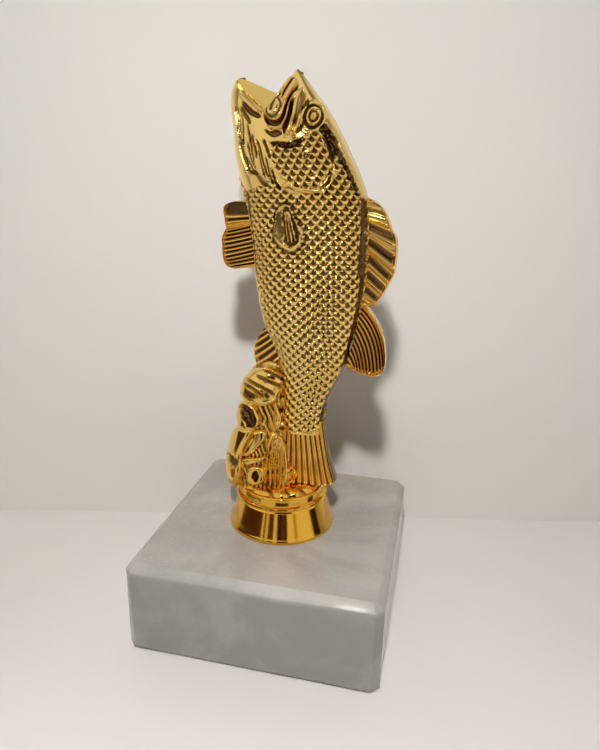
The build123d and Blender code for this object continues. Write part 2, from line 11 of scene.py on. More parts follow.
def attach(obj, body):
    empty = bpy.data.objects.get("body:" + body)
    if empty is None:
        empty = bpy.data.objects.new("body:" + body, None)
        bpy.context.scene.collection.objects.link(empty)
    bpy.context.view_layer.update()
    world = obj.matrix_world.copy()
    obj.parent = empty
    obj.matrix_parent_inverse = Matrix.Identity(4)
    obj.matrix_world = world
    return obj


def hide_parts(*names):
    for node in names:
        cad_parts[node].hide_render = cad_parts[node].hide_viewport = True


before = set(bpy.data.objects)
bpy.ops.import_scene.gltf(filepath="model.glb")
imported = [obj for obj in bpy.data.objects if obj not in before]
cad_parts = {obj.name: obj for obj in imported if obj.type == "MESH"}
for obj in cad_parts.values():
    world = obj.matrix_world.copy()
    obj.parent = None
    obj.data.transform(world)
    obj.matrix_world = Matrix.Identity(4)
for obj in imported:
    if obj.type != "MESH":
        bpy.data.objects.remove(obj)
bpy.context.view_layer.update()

# Marble block. A square of pale grey marble, sawn, bevelled round its top and its upright edges, and
# polished. A counterbored hole from below takes the stud with its washers and nut. All sizes are drawn in
# millimetres, with heights from the table.
MM = 0.001
BLOCK_SIDE = 80.0
BLOCK_HEIGHT = 30.0
BLOCK_FOOT = 0.6
BLOCK_BEVEL = 2.4
BLOCK_FOOT_BEVEL = 0.5
BLOCK_EDGE_WEAR = 0.22
STUD_HOLE_RADIUS = 3.5
COUNTERBORE_RADIUS = 8.0
COUNTERBORE_DEPTH = 12.0
MARBLE_TOP = BLOCK_FOOT + BLOCK_HEIGHT
BORE_SEGMENTS = 64
TOUCH = 0.01
STONE_GREY, STONE_PALE = (163, 159, 152), (184, 180, 173)
STONE_PATCH = (190, 186, 178)
STONE_VEIN = (150, 150, 146)
STONE_GRAIN = (226, 225, 220)
# Painted shade for the block's sides and underside.
STONE_SIDE_SHADE = (118, 117, 110)


class Wire:
    """A number, colour or vector on its way through a finish, which Python's own signs work on."""

    def __init__(self, finish, socket):
        self.finish = finish
        self.socket = socket

    def _maths(self, operation, *values):
        return self.finish.node("ShaderNodeMath", {"operation": operation}, dict(enumerate(values)))

    def __add__(self, other):
        return self._maths("ADD", self, other)

    def __sub__(self, other):
        return self._maths("SUBTRACT", self, other)

    def __rsub__(self, other):
        return self._maths("SUBTRACT", other, self)

    def __mul__(self, other):
        return self._maths("MULTIPLY", self, other)

    def __abs__(self):
        return self._maths("ABSOLUTE", self)

    __radd__ = __add__
    __rmul__ = __mul__

    def step(self, low, high):
        """0 below the low value, 1 above the high one and smooth between them."""
        return self.finish.node(
            "ShaderNodeMapRange", {"interpolation_type": "SMOOTHSTEP"}, {0: self, 1: low, 2: high})


class Finish:
    """A material. What is the same all over its surface is set on its shader when it is made."""

    def __init__(self, name, **settings):
        self.material = bpy.data.materials.new(name)
        self.material.use_nodes = True
        self.tree = self.material.node_tree
        self.shader = self.tree.nodes["Principled BSDF"]
        for socket, value in settings.items():
            self.shader.inputs[socket.replace("_", " ")].default_value = value
        self.place = self.node("ShaderNodeTexCoord", output="Object")

    def node(self, kind, settings=None, sockets=None, output=0):
        made = self.tree.nodes.new(kind)
        for name, value in (settings or {}).items():
            setattr(made, name, value)
        for name, value in (sockets or {}).items():
            self.plug(made.inputs[name], value)
        return Wire(self, made.outputs[output])

    def plug(self, socket, value):
        if isinstance(value, Wire):
            self.tree.links.new(value.socket, socket)
        else:
            socket.default_value = value

    def noise(self, per_metre, detail=3.0, rough=0.5, twist=0.0):
        return self.node("ShaderNodeTexNoise", sockets={
            "Vector": self.place, "Scale": per_metre, "Detail": detail, "Roughness": rough,
            "Distortion": twist})

    def mix(self, share, first, second):
        return self.node("ShaderNodeMix", {"data_type": "RGBA"}, {0: share, 6: first, 7: second}, output=2)

    def attribute(self, name):
        return self.node("ShaderNodeAttribute", {"attribute_name": name}, output="Fac")

    def height(self):
        """Height over the table in millimetres."""
        return self.node("ShaderNodeSeparateXYZ", sockets={0: self.place}, output="Z") * (1 / MM)

    def bump(self, height, distance, strength):
        return self.node("ShaderNodeBump", sockets={
            "Strength": strength, "Distance": distance, "Height": height})

    def feed(self, **wires):
        for socket, wire in wires.items():
            self.plug(self.shader.inputs[socket.replace("_", " ")], wire)


def paint(red, green, blue):
    """Colour from its screen values out of 255."""
    return tuple(((part / 255 + 0.055) / 1.055) ** 2.4 for part in (red, green, blue)) + (1.0,)


def stand_for(bm, name, material, nodes, sharp_degrees=35.0):
    """The finished piece: a mesh in millimetres becomes an object in metres that stands for CAD nodes."""
    bmesh.ops.scale(bm, vec=(MM, MM, MM), verts=bm.verts)
    bmesh.ops.recalc_face_normals(bm, faces=bm.faces)
    if bm.calc_volume(signed=True) < 0:
        bmesh.ops.reverse_faces(bm, faces=bm.faces)
    mesh = bpy.data.meshes.new(name)
    bm.to_mesh(mesh)
    bm.free()
    mesh.shade_smooth()
    mesh.set_sharp_from_angle(angle=math.radians(sharp_degrees))
    mesh.materials.append(material)
    piece = bpy.data.objects.new(name, mesh)
    bpy.context.scene.collection.objects.link(piece)
    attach(piece, "root")
    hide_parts(*nodes)


def bevelled(bm, edges, width, segments=1):
    bmesh.ops.bevel(bm, geom=edges, offset=width, segments=segments, profile=0.5, affect="EDGES", material=-1)


def verts_of(items):
    return [item for item in items if isinstance(item, bmesh.types.BMVert)]


def circle_edges(bm, radius, height):
    circle = bmesh.ops.create_circle(
        bm, segments=BORE_SEGMENTS, radius=radius, matrix=Matrix.Translation((0, 0, height)))["verts"]
    return list({edge for vert in circle for edge in vert.link_edges})


def round_opening(bm, face, radius, height):
    """Cuts a round opening into a flat face and returns the edges of its rim."""
    border = list(face.edges)
    bmesh.ops.delete(bm, geom=[face], context="FACES_ONLY")
    rim = circle_edges(bm, radius, height)
    bmesh.ops.triangle_fill(bm, use_beauty=True, edges=border + rim)
    return rim


marble = Finish("polished_marble", Roughness=0.3, Coat_Weight=0.35, Coat_Roughness=0.1, IOR=1.49)
clouds = marble.noise(26.0, 5.0, 0.55, 0.8)
patches = marble.noise(55.0, 2.0, 0.45, 0.3)
veins = 1 - abs(marble.noise(17.0, 6.0, 0.62, 1.4) - 0.5).step(0.0, 0.045)
grain = marble.noise(900.0, 2.0, 0.5)
stone = marble.mix(clouds.step(0.35, 0.68), paint(*STONE_GREY), paint(*STONE_PALE))
stone = marble.mix(patches.step(0.45, 0.75) * 0.3, stone, paint(*STONE_PATCH))
stone = marble.mix(veins * 0.08, stone, paint(*STONE_VEIN))
stone = marble.mix(grain.step(0.55, 0.75) * 0.12, stone, paint(*STONE_GRAIN))
# The sides and the underside are painted darker than the top, cloudy along the top edge: painted shade.
top_face = (marble.height() + clouds * 4.0).step(MARBLE_TOP - 2.0, MARBLE_TOP + 1.0)
stone = marble.mix((1 - top_face) * (0.35 + 0.4 * clouds.step(0.4, 0.6)), stone, paint(*STONE_SIDE_SHADE))
marble.feed(Base_Color=stone, Roughness=0.14 + patches * 0.16, Normal=marble.bump(grain, 0.00004, 0.25))

block = bmesh.new()
bmesh.ops.create_cube(block, size=1.0, matrix=Matrix.Translation(
    (0, 0, BLOCK_FOOT + BLOCK_HEIGHT / 2)) @ Matrix.Diagonal((BLOCK_SIDE, BLOCK_SIDE, BLOCK_HEIGHT, 1)))
for width, chosen in (
    (BLOCK_BEVEL, lambda low, high: high - low > BLOCK_HEIGHT / 2),
    (BLOCK_BEVEL, lambda low, high: low > MARBLE_TOP - TOUCH),
    (BLOCK_FOOT_BEVEL, lambda low, high: high < BLOCK_FOOT + TOUCH),
):
    edges = [edge for edge in block.edges if chosen(*sorted(vert.co.z for vert in edge.verts))]
    bevelled(block, edges, width)
bevelled(block, block.edges[:], BLOCK_EDGE_WEAR, segments=2)
underside = min(block.faces, key=lambda face: face.calc_center_median().z)
foot_rim = round_opening(block, underside, COUNTERBORE_RADIUS, BLOCK_FOOT)
sunk = bmesh.ops.extrude_edge_only(block, edges=foot_rim)["geom"]
seat_rim = [item for item in sunk if isinstance(item, bmesh.types.BMEdge) and item.is_boundary]
bmesh.ops.translate(block, vec=(0, 0, COUNTERBORE_DEPTH), verts=verts_of(sunk))
hole_rim = circle_edges(block, STUD_HOLE_RADIUS, BLOCK_FOOT + COUNTERBORE_DEPTH)
bmesh.ops.bridge_loops(block, edges=seat_rim + hole_rim)
upper_side = max(block.faces, key=lambda face: face.calc_center_median().z)
top_rim = round_opening(block, upper_side, STUD_HOLE_RADIUS, MARBLE_TOP)
bmesh.ops.bridge_loops(block, edges=top_rim + hole_rim)
stand_for(block, "marble_base", marble.material, ["marble_block"], sharp_degrees=12.0)

# Four self-adhesive felt pads, punched from black sheet, that keep the stone off the table.
# The punch draws their lower edge in, so it is slightly round.
PAD_RADIUS = 6.0
PAD_PLACE = 31.0
PAD_EDGE = 0.2
PAD_SEGMENTS = 48
FELT_BLACK, FELT_LINT = (0.012, 0.012, 0.013, 1), (0.06, 0.06, 0.063, 1)

felt = Finish("black_felt", Roughness=0.95, Sheen_Weight=0.6, Sheen_Roughness=0.6, Specular_IOR_Level=0.2)
fuzz = felt.noise(2600.0, 4.0, 0.7)
felt.feed(
    Base_Color=felt.mix(fuzz.step(0.3, 0.75), FELT_BLACK, FELT_LINT),
    Normal=felt.bump(fuzz, 0.0002, 0.8))
for depth_name, side_y in (("front", -1), ("back", 1)):
    for side_name, side_x in (("left", -1), ("right", 1)):
        pad = bmesh.new()
        bmesh.ops.create_circle(pad, cap_ends=True, segments=PAD_SEGMENTS, radius=PAD_RADIUS,
                                matrix=Matrix.Translation((side_x * PAD_PLACE, side_y * PAD_PLACE, 0)))
        lower_edge = pad.edges[:]
        upper = bmesh.ops.extrude_face_region(pad, geom=pad.faces[:], use_keep_orig=True)["geom"]
        bmesh.ops.translate(pad, vec=(0, 0, BLOCK_FOOT), verts=verts_of(upper))
        bevelled(pad, lower_edge, PAD_EDGE, segments=2)
        name = f"felt_pad_{depth_name}_{side_name}"
        stand_for(pad, f"{name}_soft", felt.material, [name])

# Stud, nuts and washers. An M6 rod with a rolled thread runs up through the stone into a nut that is trapped
# in the pedestal. A flat washer, a spring washer and a nut pull it tight from below. All are zinc plated.
STUD_RADIUS = 3.0
STUD_FOOT = 2.0
STUD_TOP = 42.0
THREAD_PITCH = 1.0
THREAD_DEPTH = 0.55
THREAD_SLOPE = 2.6
THREAD_LAND = 0.25
STUD_END_TAPER = 0.8
WELD = 0.0001
ZINC_GREY = (0.66, 0.69, 0.72, 1)
ZINC_DULL, ZINC_BRIGHT = (0.58, 0.62, 0.66, 1), (0.76, 0.77, 0.76, 1)

zinc = Finish("bright_zinc", Metallic=1.0, Roughness=0.3, Base_Color=ZINC_GREY)
spangle = zinc.noise(420.0, 3.0, 0.6)
zinc.feed(
    Base_Color=zinc.mix(spangle.step(0.35, 0.7), ZINC_DULL, ZINC_BRIGHT),
    Roughness=0.22 + spangle * 0.2,
    Normal=zinc.bump(zinc.noise(3000.0, 2.0), 0.00003, 0.4))
for name in ("captive_nut", "flat_washer", "lock_washer", "clamp_nut"):
    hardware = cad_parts[name]
    hardware.data.materials.clear()
    hardware.data.materials.append(zinc.material)


def shaped_grid(columns, rows, shape):
    """Sheet of small squares, whose places a shape gives from their share across and up."""
    bm = bmesh.new()
    bmesh.ops.create_grid(bm, x_segments=columns, y_segments=rows, size=0.5)
    flat = np.array([vert.co[:2] for vert in bm.verts]) + 0.5
    order = np.lexsort((flat[:, 0].round(6), flat[:, 1].round(6)))
    size = (len(set(flat[:, 1].round(6))), len(set(flat[:, 0].round(6))))
    across, up = (flat[order, axis].reshape(size) for axis in (0, 1))
    places, marks = shape(across, up)
    layer = bm.verts.layers.float.new("recess")
    verts = bm.verts[:]
    for number, place, mark in zip(order, places.reshape(-1, 3), marks.reshape(-1)):
        verts[number].co = place
        verts[number][layer] = mark
    return bm


def open_edges(bm):
    return [edge for edge in bm.edges if edge.is_boundary]


def stud_shape(across, up):
    height = STUD_FOOT + (STUD_TOP - STUD_FOOT) * up
    turn = (height / THREAD_PITCH - across) % 1.0
    flank = np.clip(np.abs(turn - 0.5) * THREAD_SLOPE - THREAD_LAND, 0, 1)
    from_end = np.minimum(height - STUD_FOOT, STUD_TOP - height)
    radius = STUD_RADIUS - THREAD_DEPTH * flank
    radius = np.minimum(radius, STUD_RADIUS - STUD_END_TAPER + from_end)
    angle = across * 2 * math.pi
    return np.stack((radius * np.cos(angle), radius * np.sin(angle), height), -1), 0 * across


rod = shaped_grid(columns=36, rows=320, shape=stud_shape)
bmesh.ops.remove_doubles(rod, verts=rod.verts, dist=WELD)
bmesh.ops.holes_fill(rod, edges=open_edges(rod), sides=0)
stand_for(rod, "threaded_stud", zinc.material, ["stud"], sharp_degrees=50.0)

# Pedestal halves. The figure is moulded in two halves with the parting on its middle plane, metallised in a
# vacuum, and dipped in a clear gold lacquer. Its gold turns deeper orange towards the foot, and its hollows
# are painted dark, partly as gathered lacquer and partly as painted shade.
PEDESTAL_STEPS = 72
PEDESTAL_OUTSIDE = (
    (0.0, 14.6), (13.5, 14.6), (13.8, 14.52), (14.05, 14.3), (14.15, 14.0), (14.15, 12.4), (14.2, 12.0),
    (14.5, 11.75), (14.95, 11.65), (15.3, 11.45), (15.42, 11.1), (15.3, 10.75), (14.95, 10.55), (14.7, 10.4),
    (14.62, 10.2), (14.7, 10.0), (14.9, 9.8), (14.98, 9.5), (15.08, 9.2), (15.4, 8.2), (15.86, 6.8),
    (16.4, 5.2), (16.88, 3.8), (17.29, 2.6), (17.53, 1.9), (17.7, 1.5), (17.9, 1.15), (18.0, 0.6),
    (17.95, 0.15), (17.8, 0.0))
PEDESTAL_INSIDE = (
    (16.4, 0.0), (16.2, 0.6), (14.0, 5.0), (12.8, 9.6), (12.7, 13.0), (8.0, 13.0), (8.0, 0.0), (3.5, 0.0),
    (3.5, 4.0), (5.9, 4.0), (5.9, 9.1), (3.5, 9.1), (3.5, 11.9), (0.0, 11.9))
GOLD_HIGH, GOLD_LOW = (0.95, 0.68, 0.22, 1), (0.96, 0.62, 0.12, 1)
GOLD_FOOT = (0.90, 0.46, 0.03, 1)
POOLED_LACQUER_AND_SHADE = (0.10, 0.042, 0.009, 1)

gilt = Finish("gilt_lacquer", Metallic=1.0, Roughness=0.13, Coat_Weight=0.35, Coat_Roughness=0.04)
run = gilt.noise(60.0, 3.0, 0.5)
lacquer_and_shade_mark = gilt.attribute("recess")
# The gold turns deeper orange towards the foot.
lower_tone = (1 - gilt.height().step(45.0, 105.0)) * 0.8 + run * 0.2
shine = gilt.mix(lower_tone, GOLD_HIGH, GOLD_LOW)
shine = gilt.mix((1 - gilt.height().step(40.0, 62.0)) * 0.8, shine, GOLD_FOOT)
# Recess marks paint the hollows dark: partly lacquer gathered there, partly painted shade.
shine = gilt.mix(lacquer_and_shade_mark.step(0.0, 0.9) * 0.93, shine, POOLED_LACQUER_AND_SHADE)
skin_grain = gilt.noise(700.0, 2.0, 0.5)
gilt.feed(
    Base_Color=shine,
    Roughness=0.1 + lacquer_and_shade_mark * 0.12 + run * 0.05,
    Normal=gilt.bump(skin_grain, 0.00006, 0.2))


def both_halves(bm, name):
    """Left half as drawn, and its mirror image as the right half, each standing for its own shell."""
    other = bm.copy()
    bmesh.ops.scale(other, vec=(1, -1, 1), verts=other.verts)
    stand_for(bm, f"left_{name}", gilt.material, ["left_shell"])
    stand_for(other, f"right_{name}", gilt.material, ["right_shell"])


turned = bmesh.new()
turned.faces.new([turned.verts.new((-radius, 0, MARBLE_TOP + height))
                  for radius, height in PEDESTAL_OUTSIDE + PEDESTAL_INSIDE])
bmesh.ops.spin(turned, geom=turned.verts[:] + turned.edges[:] + turned.faces[:], cent=(0, 0, 0),
               axis=(0, 0, 1), angle=math.pi, steps=PEDESTAL_STEPS)
bmesh.ops.remove_doubles(turned, verts=turned.verts, dist=WELD)
turned.verts.layers.float.new("recess")
both_halves(turned, "pedestal")

# Splash. Leaves of water climb the belly side of the tail, each with a rounded rim, and thin streams hang
# between them and curl over the pedestal's collar.
SPLASH_SLICES = (
    (12.4, -15.2, 8.8, 10.2), (13.6, -15.6, 8.4, 10.3), (15.5, -16.6, 6.6, 10.3), (19.7, -17.2, 4.4, 10.2),
    (26.0, -16.3, 2.5, 9.7), (32.4, -14.8, 1.3, 8.8), (38.8, -13.4, 0.7, 7.8), (43.9, -12.6, 0.9, 7.0),
    (49.0, -12.2, 1.2, 6.3), (52.8, -10.9, 0.9, 5.0), (55.6, -8.4, 0.2, 3.0), (57.3, -5.6, -0.6, 0.9))
SPLASH_ROUNDNESS = 2.1
PARTING_WELD = 0.0005


def curve_through(points, closed=False, steps=12):
    """Smooth line through points that were marked."""
    ends = np.asarray(points, float)
    if closed:
        ends = np.vstack((ends[-1], ends, ends[0], ends[1]))
    else:
        ends = np.vstack((2 * ends[0] - ends[1], ends, 2 * ends[-1] - ends[-2]))
    share = np.linspace(0, 1, steps, endpoint=False)[:, None]
    pieces = []
    for before, start, end, after in zip(ends, ends[1:], ends[2:], ends[3:]):
        pieces.append(0.5 * (2 * start + (end - before) * share
                             + (2 * before - 5 * start + 4 * end - after) * share ** 2
                             + (3 * start - before - 3 * end + after) * share ** 3))
    return np.vstack(pieces + ([] if closed else [ends[-2:-1]]))


def step(low, high, value):
    """0 below the low value, 1 above the high one and smooth between them."""
    share = np.clip((value - low) / (high - low), 0, 1)
    return share * share * (3 - 2 * share)


def off_line(x, z, line):
    """Distance from a line of the side view, and the share of the line's length that has been passed."""
    best = np.full(x.shape, 1e9)
    share = np.zeros(x.shape)
    lengths = np.hypot(*np.diff(line, axis=0).T)
    total = lengths.sum()
    passed = 0.0
    for start, end, length in zip(line, line[1:], lengths):
        run_x, run_z = end - start
        along = np.clip(((x - start[0]) * run_x + (z - start[1]) * run_z) / max(length, 1e-9) ** 2, 0, 1)
        away = np.hypot(x - start[0] - along * run_x, z - start[1] - along * run_z)
        nearer = away < best
        best = np.where(nearer, away, best)
        share = np.where(nearer, (passed + along * length) / total, share)
        passed += length
    return best, share


def inside(x, z, points, steps=12):
    """Distance in from the smooth outline through points of the side view, below zero outside it."""
    outline = curve_through(points, closed=True, steps=steps)
    ring = np.vstack((outline, outline[:1]))
    odd = np.zeros(x.shape, bool)
    for (x1, z1), (x2, z2) in zip(ring, ring[1:]):
        if z1 != z2:
            odd ^= ((z1 > z) != (z2 > z)) & (x < (x2 - x1) * (z - z1) / (z2 - z1) + x1)
    return np.where(odd, 1, -1) * off_line(x, z, ring)[0]


def bead(x, z, points, width, height, taper=0.15):
    """Rounded ridge along a smooth line, or a groove if its height is below zero, drawn out to thin ends."""
    away, share = off_line(x, z, curve_through(points))
    swell = np.clip(np.minimum(share, 1 - share) / taper, 0.0, 1) ** 0.5
    reach = np.clip(1 - (2 * away / (width * np.maximum(swell, 0.2))) ** 2, 0, 1)
    return height * reach ** 0.7 * swell


def patch(x, z, points, edge):
    """Share of a flat patch: 1 inside a smooth outline and 0 outside, with an edge of the given width."""
    return step(-edge / 2, edge / 2, inside(x, z, points))


def pillow(x, z, points, height, reach):
    """Swollen leaf inside a smooth outline, round over its edge for the given reach."""
    share = np.clip(inside(x, z, points) / reach, 0, 1)
    return height * np.sqrt(1 - (1 - share) ** 2)


def half_form(slices, roundness, foot=None, rim=None):
    """Half that is round from edge to edge. A slice has its height, near edge, far edge and bulge."""
    table = curve_through(slices)
    heights = table[:, 0]
    foot = heights[0] if foot is None else foot
    rim = np.array(rim or ((0, heights[-1]), (1, heights[-1])))

    def place(across, up):
        angle = math.pi * across
        lean = np.sign(np.cos(angle)) * np.abs(np.cos(angle)) ** (2 / roundness)
        out = np.abs(np.sin(angle)) ** (2 / roundness)
        share = (1 - lean) / 2
        z = foot + (np.interp(share, rim[:, 0], rim[:, 1]) - foot) * up
        near, far, bulge = (np.interp(z, heights, table[:, column]) for column in (1, 2, 3))
        return np.stack((near + (far - near) * share, -bulge * out, z), -1)

    return place


def carved(form, relief):
    """A form with its relief raised square to its surface. The relief gives heights and the marks that paint
    its recesses dark, as gathered lacquer and painted shade.
    """

    def shape(across, up):
        base = form(across, up)
        facing = np.cross(np.gradient(base, axis=1), np.gradient(base, axis=0))
        facing /= np.maximum(np.linalg.norm(facing, axis=-1, keepdims=True), 1e-9)
        facing *= -1 if facing[..., 1].mean() > 0 else 1
        steps_across = np.linalg.norm(np.diff(base, axis=1), axis=-1)
        arc = np.concatenate((np.zeros((len(base), 1)), np.cumsum(steps_across, axis=1)), axis=1)
        arc -= arc[:, arc.shape[1] // 2][:, None]
        height, mark = relief(base[..., 0], base[..., 2], arc, base)
        skin = base + facing * height[..., None]
        skin[:, 0, 1] = 0
        skin[:, -1, 1] = 0
        skin[..., 1] = np.minimum(skin[..., 1], 0)
        skin[..., 2] += MARBLE_TOP
        return skin, mark

    return shape


def mould(name, columns, rows, shape):
    """Both halves of a shape, whose open border runs straight back to the parting plane and is closed."""
    bm = shaped_grid(columns, rows, shape)
    for vert in verts_of(bmesh.ops.extrude_edge_only(bm, edges=open_edges(bm))["geom"]):
        vert.co.y = 0
    bmesh.ops.remove_doubles(bm, verts=bm.verts, dist=PARTING_WELD)
    bmesh.ops.dissolve_degenerate(bm, edges=bm.edges, dist=WELD)
    bmesh.ops.triangle_fill(bm, use_beauty=True, edges=open_edges(bm))
    both_halves(bm, name)


BULB = (
    (-11.8, 51.0), (-13.3, 47.6), (-13.0, 44.8), (-10.3, 43.6), (-7.3, 43.4), (-4.4, 43.4), (-1.8, 44.4),
    (0.0, 47.0), (0.9, 50.3), (0.8, 53.3), (-1.1, 55.0), (-4.6, 55.6), (-8.8, 54.0))
BULB_SLOTS = (
    ((-12.2, 49.2), (-8.7, 49.3), (-5.8, 47.8), (-4.1, 46.0)),
    ((-9.8, 51.2), (-6.3, 50.1), (-3.4, 48.8), (-1.7, 47.2)),
    ((-6.9, 52.6), (-4.1, 51.8), (-1.3, 50.4), (0.2, 49.0)),
    ((-5.2, 54.3), (-2.8, 53.6), (-0.8, 52.5), (0.6, 51.0)), ((-12.6, 46.8), (-10.2, 46.4), (-7.6, 45.2)))
CREST = ((-6.2, 55.3), (-3.8, 56.1), (-1.6, 55.8), (0.1, 55.9), (1.3, 56.0))
TEAR_RIM = (
    (-14.0, 41.0), (-14.6, 38.2), (-13.4, 36.4), (-11.7, 35.0), (-8.0, 35.6), (-6.0, 37.0), (-5.5, 39.4),
    (-6.7, 42.2), (-8.3, 44.0), (-11.2, 43.9))
TEAR_HOLLOW = (
    (-11.4, 42.4), (-12.7, 40.1), (-11.4, 38.8), (-9.8, 37.8), (-9.0, 36.5), (-7.2, 36.7), (-6.4, 38.6),
    (-7.2, 40.9), (-8.9, 42.9))
TEAR_RIBS = (((-11.8, 41.6), (-9.5, 40.4), (-8.2, 37.6)), ((-10.4, 42.4), (-8.1, 40.9), (-7.3, 38.0)))
GREAT_LEAF = (
    (-12.3, 35.3), (-15.2, 32.3), (-17.3, 26.0), (-18.2, 21.0), (-18.0, 16.2), (-16.6, 13.8), (-13.4, 14.2),
    (-11.6, 17.0), (-11.0, 21.2), (-10.9, 25.4), (-9.9, 28.8), (-8.0, 33.2), (-7.6, 35.4), (-9.6, 36.0))
GREAT_LEAF_END = ((-15.6, 24.6), (-12.9, 25.6), (-11.6, 24.6), (-11.9, 22.4), (-13.2, 21.6), (-15.4, 22.4))
SMALL_LEAF = (
    (-7.3, 35.2), (-5.2, 36.0), (-3.5, 35.2), (-3.7, 32.8), (-5.2, 30.5), (-7.2, 28.0), (-9.2, 26.4),
    (-10.4, 26.8), (-9.6, 29.6), (-8.0, 33.0))
TRUMPET = ((-10.6, 25.0), (-8.8, 26.3), (-6.3, 26.7), (-3.4, 27.2), (-4.3, 25.6), (-6.6, 24.6), (-9.2, 23.5))
SCROLL = (
    (-9.4, 20.4), (-8.6, 22.8), (-6.5, 24.0), (-4.2, 23.2), (-3.2, 21.0), (-3.8, 18.4), (-6.4, 17.0),
    (-8.8, 18.0))
SCROLL_EYE = ((-7.0, 20.8), (-6.0, 22.4), (-5.2, 20.8), (-5.6, 19.0), (-6.6, 19.0))
STREAMS = (
    ((-1.5, 35.6), (-2.6, 31.3), (-3.1, 25.8), (-3.2, 16.6)),
    ((-1.3, 35.2), (-1.6, 30.2), (-1.9, 25.0), (-1.6, 15.9)),
    ((-1.1, 34.8), (-0.8, 29.8), (-0.7, 24.6), (-0.2, 15.6)),
    ((-0.9, 34.4), (0.1, 29.8), (0.7, 23.8), (1.3, 15.8)),
    ((-0.6, 34.0), (1.0, 28.9), (1.9, 23.7), (2.9, 16.4)))
STALKS = (
    ((-4.4, 44.1), (-3.1, 40.5), (-2.2, 37.5), (-1.3, 34.6)),
    ((-1.8, 45.1), (-0.9, 41.3), (-0.4, 38.3), (-1.0, 34.9)),
    ((-6.0, 43.8), (-5.0, 41.6), (-4.0, 39.4), (-4.9, 36.6)),
    ((0.4, 45.6), (1.0, 42.0), (1.2, 38.6), (0.2, 35.4)))
CURLS = (
    ((2.3, 20.6), (3.5, 21.2), (4.6, 19.6), (4.4, 17.7), (2.9, 16.6)),
    ((4.9, 18.8), (6.3, 18.6), (7.0, 16.9), (6.4, 15.3)), ((7.2, 17.0), (8.3, 16.4), (8.9, 15.0)))
SPLASH_HEM = ((-12.6, 14.8), (-9.8, 15.2), (-7.1, 15.4), (-3.4, 14.6), (0.6, 14.3), (4.6, 14.5))
TEAR_DEPTH = 1.8
LEAF_END_DEPTH = 1.6
SCROLL_EYE_DEPTH = 1.7
RIPPLES = 4.4
RIPPLE_LEAN = 0.3
RIPPLE_RISE = 0.3


def splash_relief(x, z, arc, base):
    # Marks paint shade dark into the bulb's slots, the tear's hollow, the leaf's end and the scroll's eye.
    height = pillow(x, z, BULB, height=2.2, reach=3.0)
    mark = 0 * x
    for line in BULB_SLOTS:
        height += bead(x, z, line, width=1.0, height=-1.0)
        mark += bead(x, z, line, width=0.8, height=0.75)
    height += bead(x, z, CREST, width=1.6, height=1.3)
    height = np.maximum(height, pillow(x, z, TEAR_RIM, height=1.9, reach=1.1))
    hollow = patch(x, z, TEAR_HOLLOW, edge=0.5)
    height -= TEAR_DEPTH * hollow
    mark += 0.8 * hollow
    for line in TEAR_RIBS:
        height += bead(x, z, line, width=1.0, height=1.2)
    height = np.maximum(height, pillow(x, z, GREAT_LEAF, height=2.4, reach=1.6))
    hollow = pillow(x, z, GREAT_LEAF_END, height=1.0, reach=1.0)
    height -= LEAF_END_DEPTH * hollow
    mark += hollow
    for outline, swell, reach in ((SMALL_LEAF, 1.9, 1.2), (TRUMPET, 1.7, 0.7), (SCROLL, 1.8, 0.9)):
        height = np.maximum(height, pillow(x, z, outline, swell, reach))
    hollow = patch(x, z, SCROLL_EYE, edge=0.4)
    height -= SCROLL_EYE_DEPTH * hollow
    mark += hollow
    for line in STREAMS + STALKS:
        height += bead(x, z, line, width=1.0, height=1.2, taper=0.1)
    for line in CURLS:
        height += bead(x, z, line, width=1.5, height=1.8)
    height = np.maximum(height, bead(x, z, SPLASH_HEM, width=1.2, height=1.0))
    # The low ground between the relief, darkest in the ripples' troughs, is painted dark: painted shade.
    ground = 1 - step(-0.1, 0.6, height)
    ripple = np.sin(RIPPLES * (x + RIPPLE_LEAN * z) + 1.3 * np.sin(0.9 * z))
    height += RIPPLE_RISE * ripple * ground
    mark += ground * (0.25 + 0.6 * step(-0.2, -0.9, ripple))
    return height, np.clip(mark, 0, 1)


mould("splash", 150, 190, carved(half_form(SPLASH_SLICES, SPLASH_ROUNDNESS), splash_relief))

# Tail fan. Its rays are cast as one thick fan that widens down to the collar, with a bead at the end of
# each. The valleys between the rays are painted dark, partly as gathered lacquer and partly as painted shade.
TAIL_LINES = (
    ((-0.6, 37.5), (-2.6, 27.0), (-5.0, 14.4)), ((0.4, 37.5), (-0.8, 26.6), (-2.2, 14.4)),
    ((1.6, 37.6), (0.8, 26.4), (0.2, 14.8)), ((2.8, 37.6), (2.5, 26.3), (2.4, 15.9)),
    ((4.1, 37.7), (4.3, 26.2), (4.6, 15.9)), ((5.5, 37.8), (6.1, 26.3), (6.8, 15.8)),
    ((7.0, 37.9), (7.9, 26.4), (9.0, 15.7)), ((8.5, 38.0), (9.7, 26.5), (11.3, 15.6)),
    ((10.0, 38.1), (11.5, 26.7), (13.6, 15.6)), ((11.5, 38.2), (13.2, 26.9), (15.8, 15.8)),
    ((12.9, 38.3), (14.7, 27.1), (17.6, 16.2)), ((14.2, 38.4), (15.9, 27.3), (18.8, 17.2)))
TAIL_HALF = 1.9
TAIL_RAY_RISE = 0.9
TAIL_RAY_SHARE = 0.82
TAIL_SPLIT = 0.12
TAIL_FLARE = 1.3
TAIL_EDGE = 0.6
TAIL_TIP = 0.5


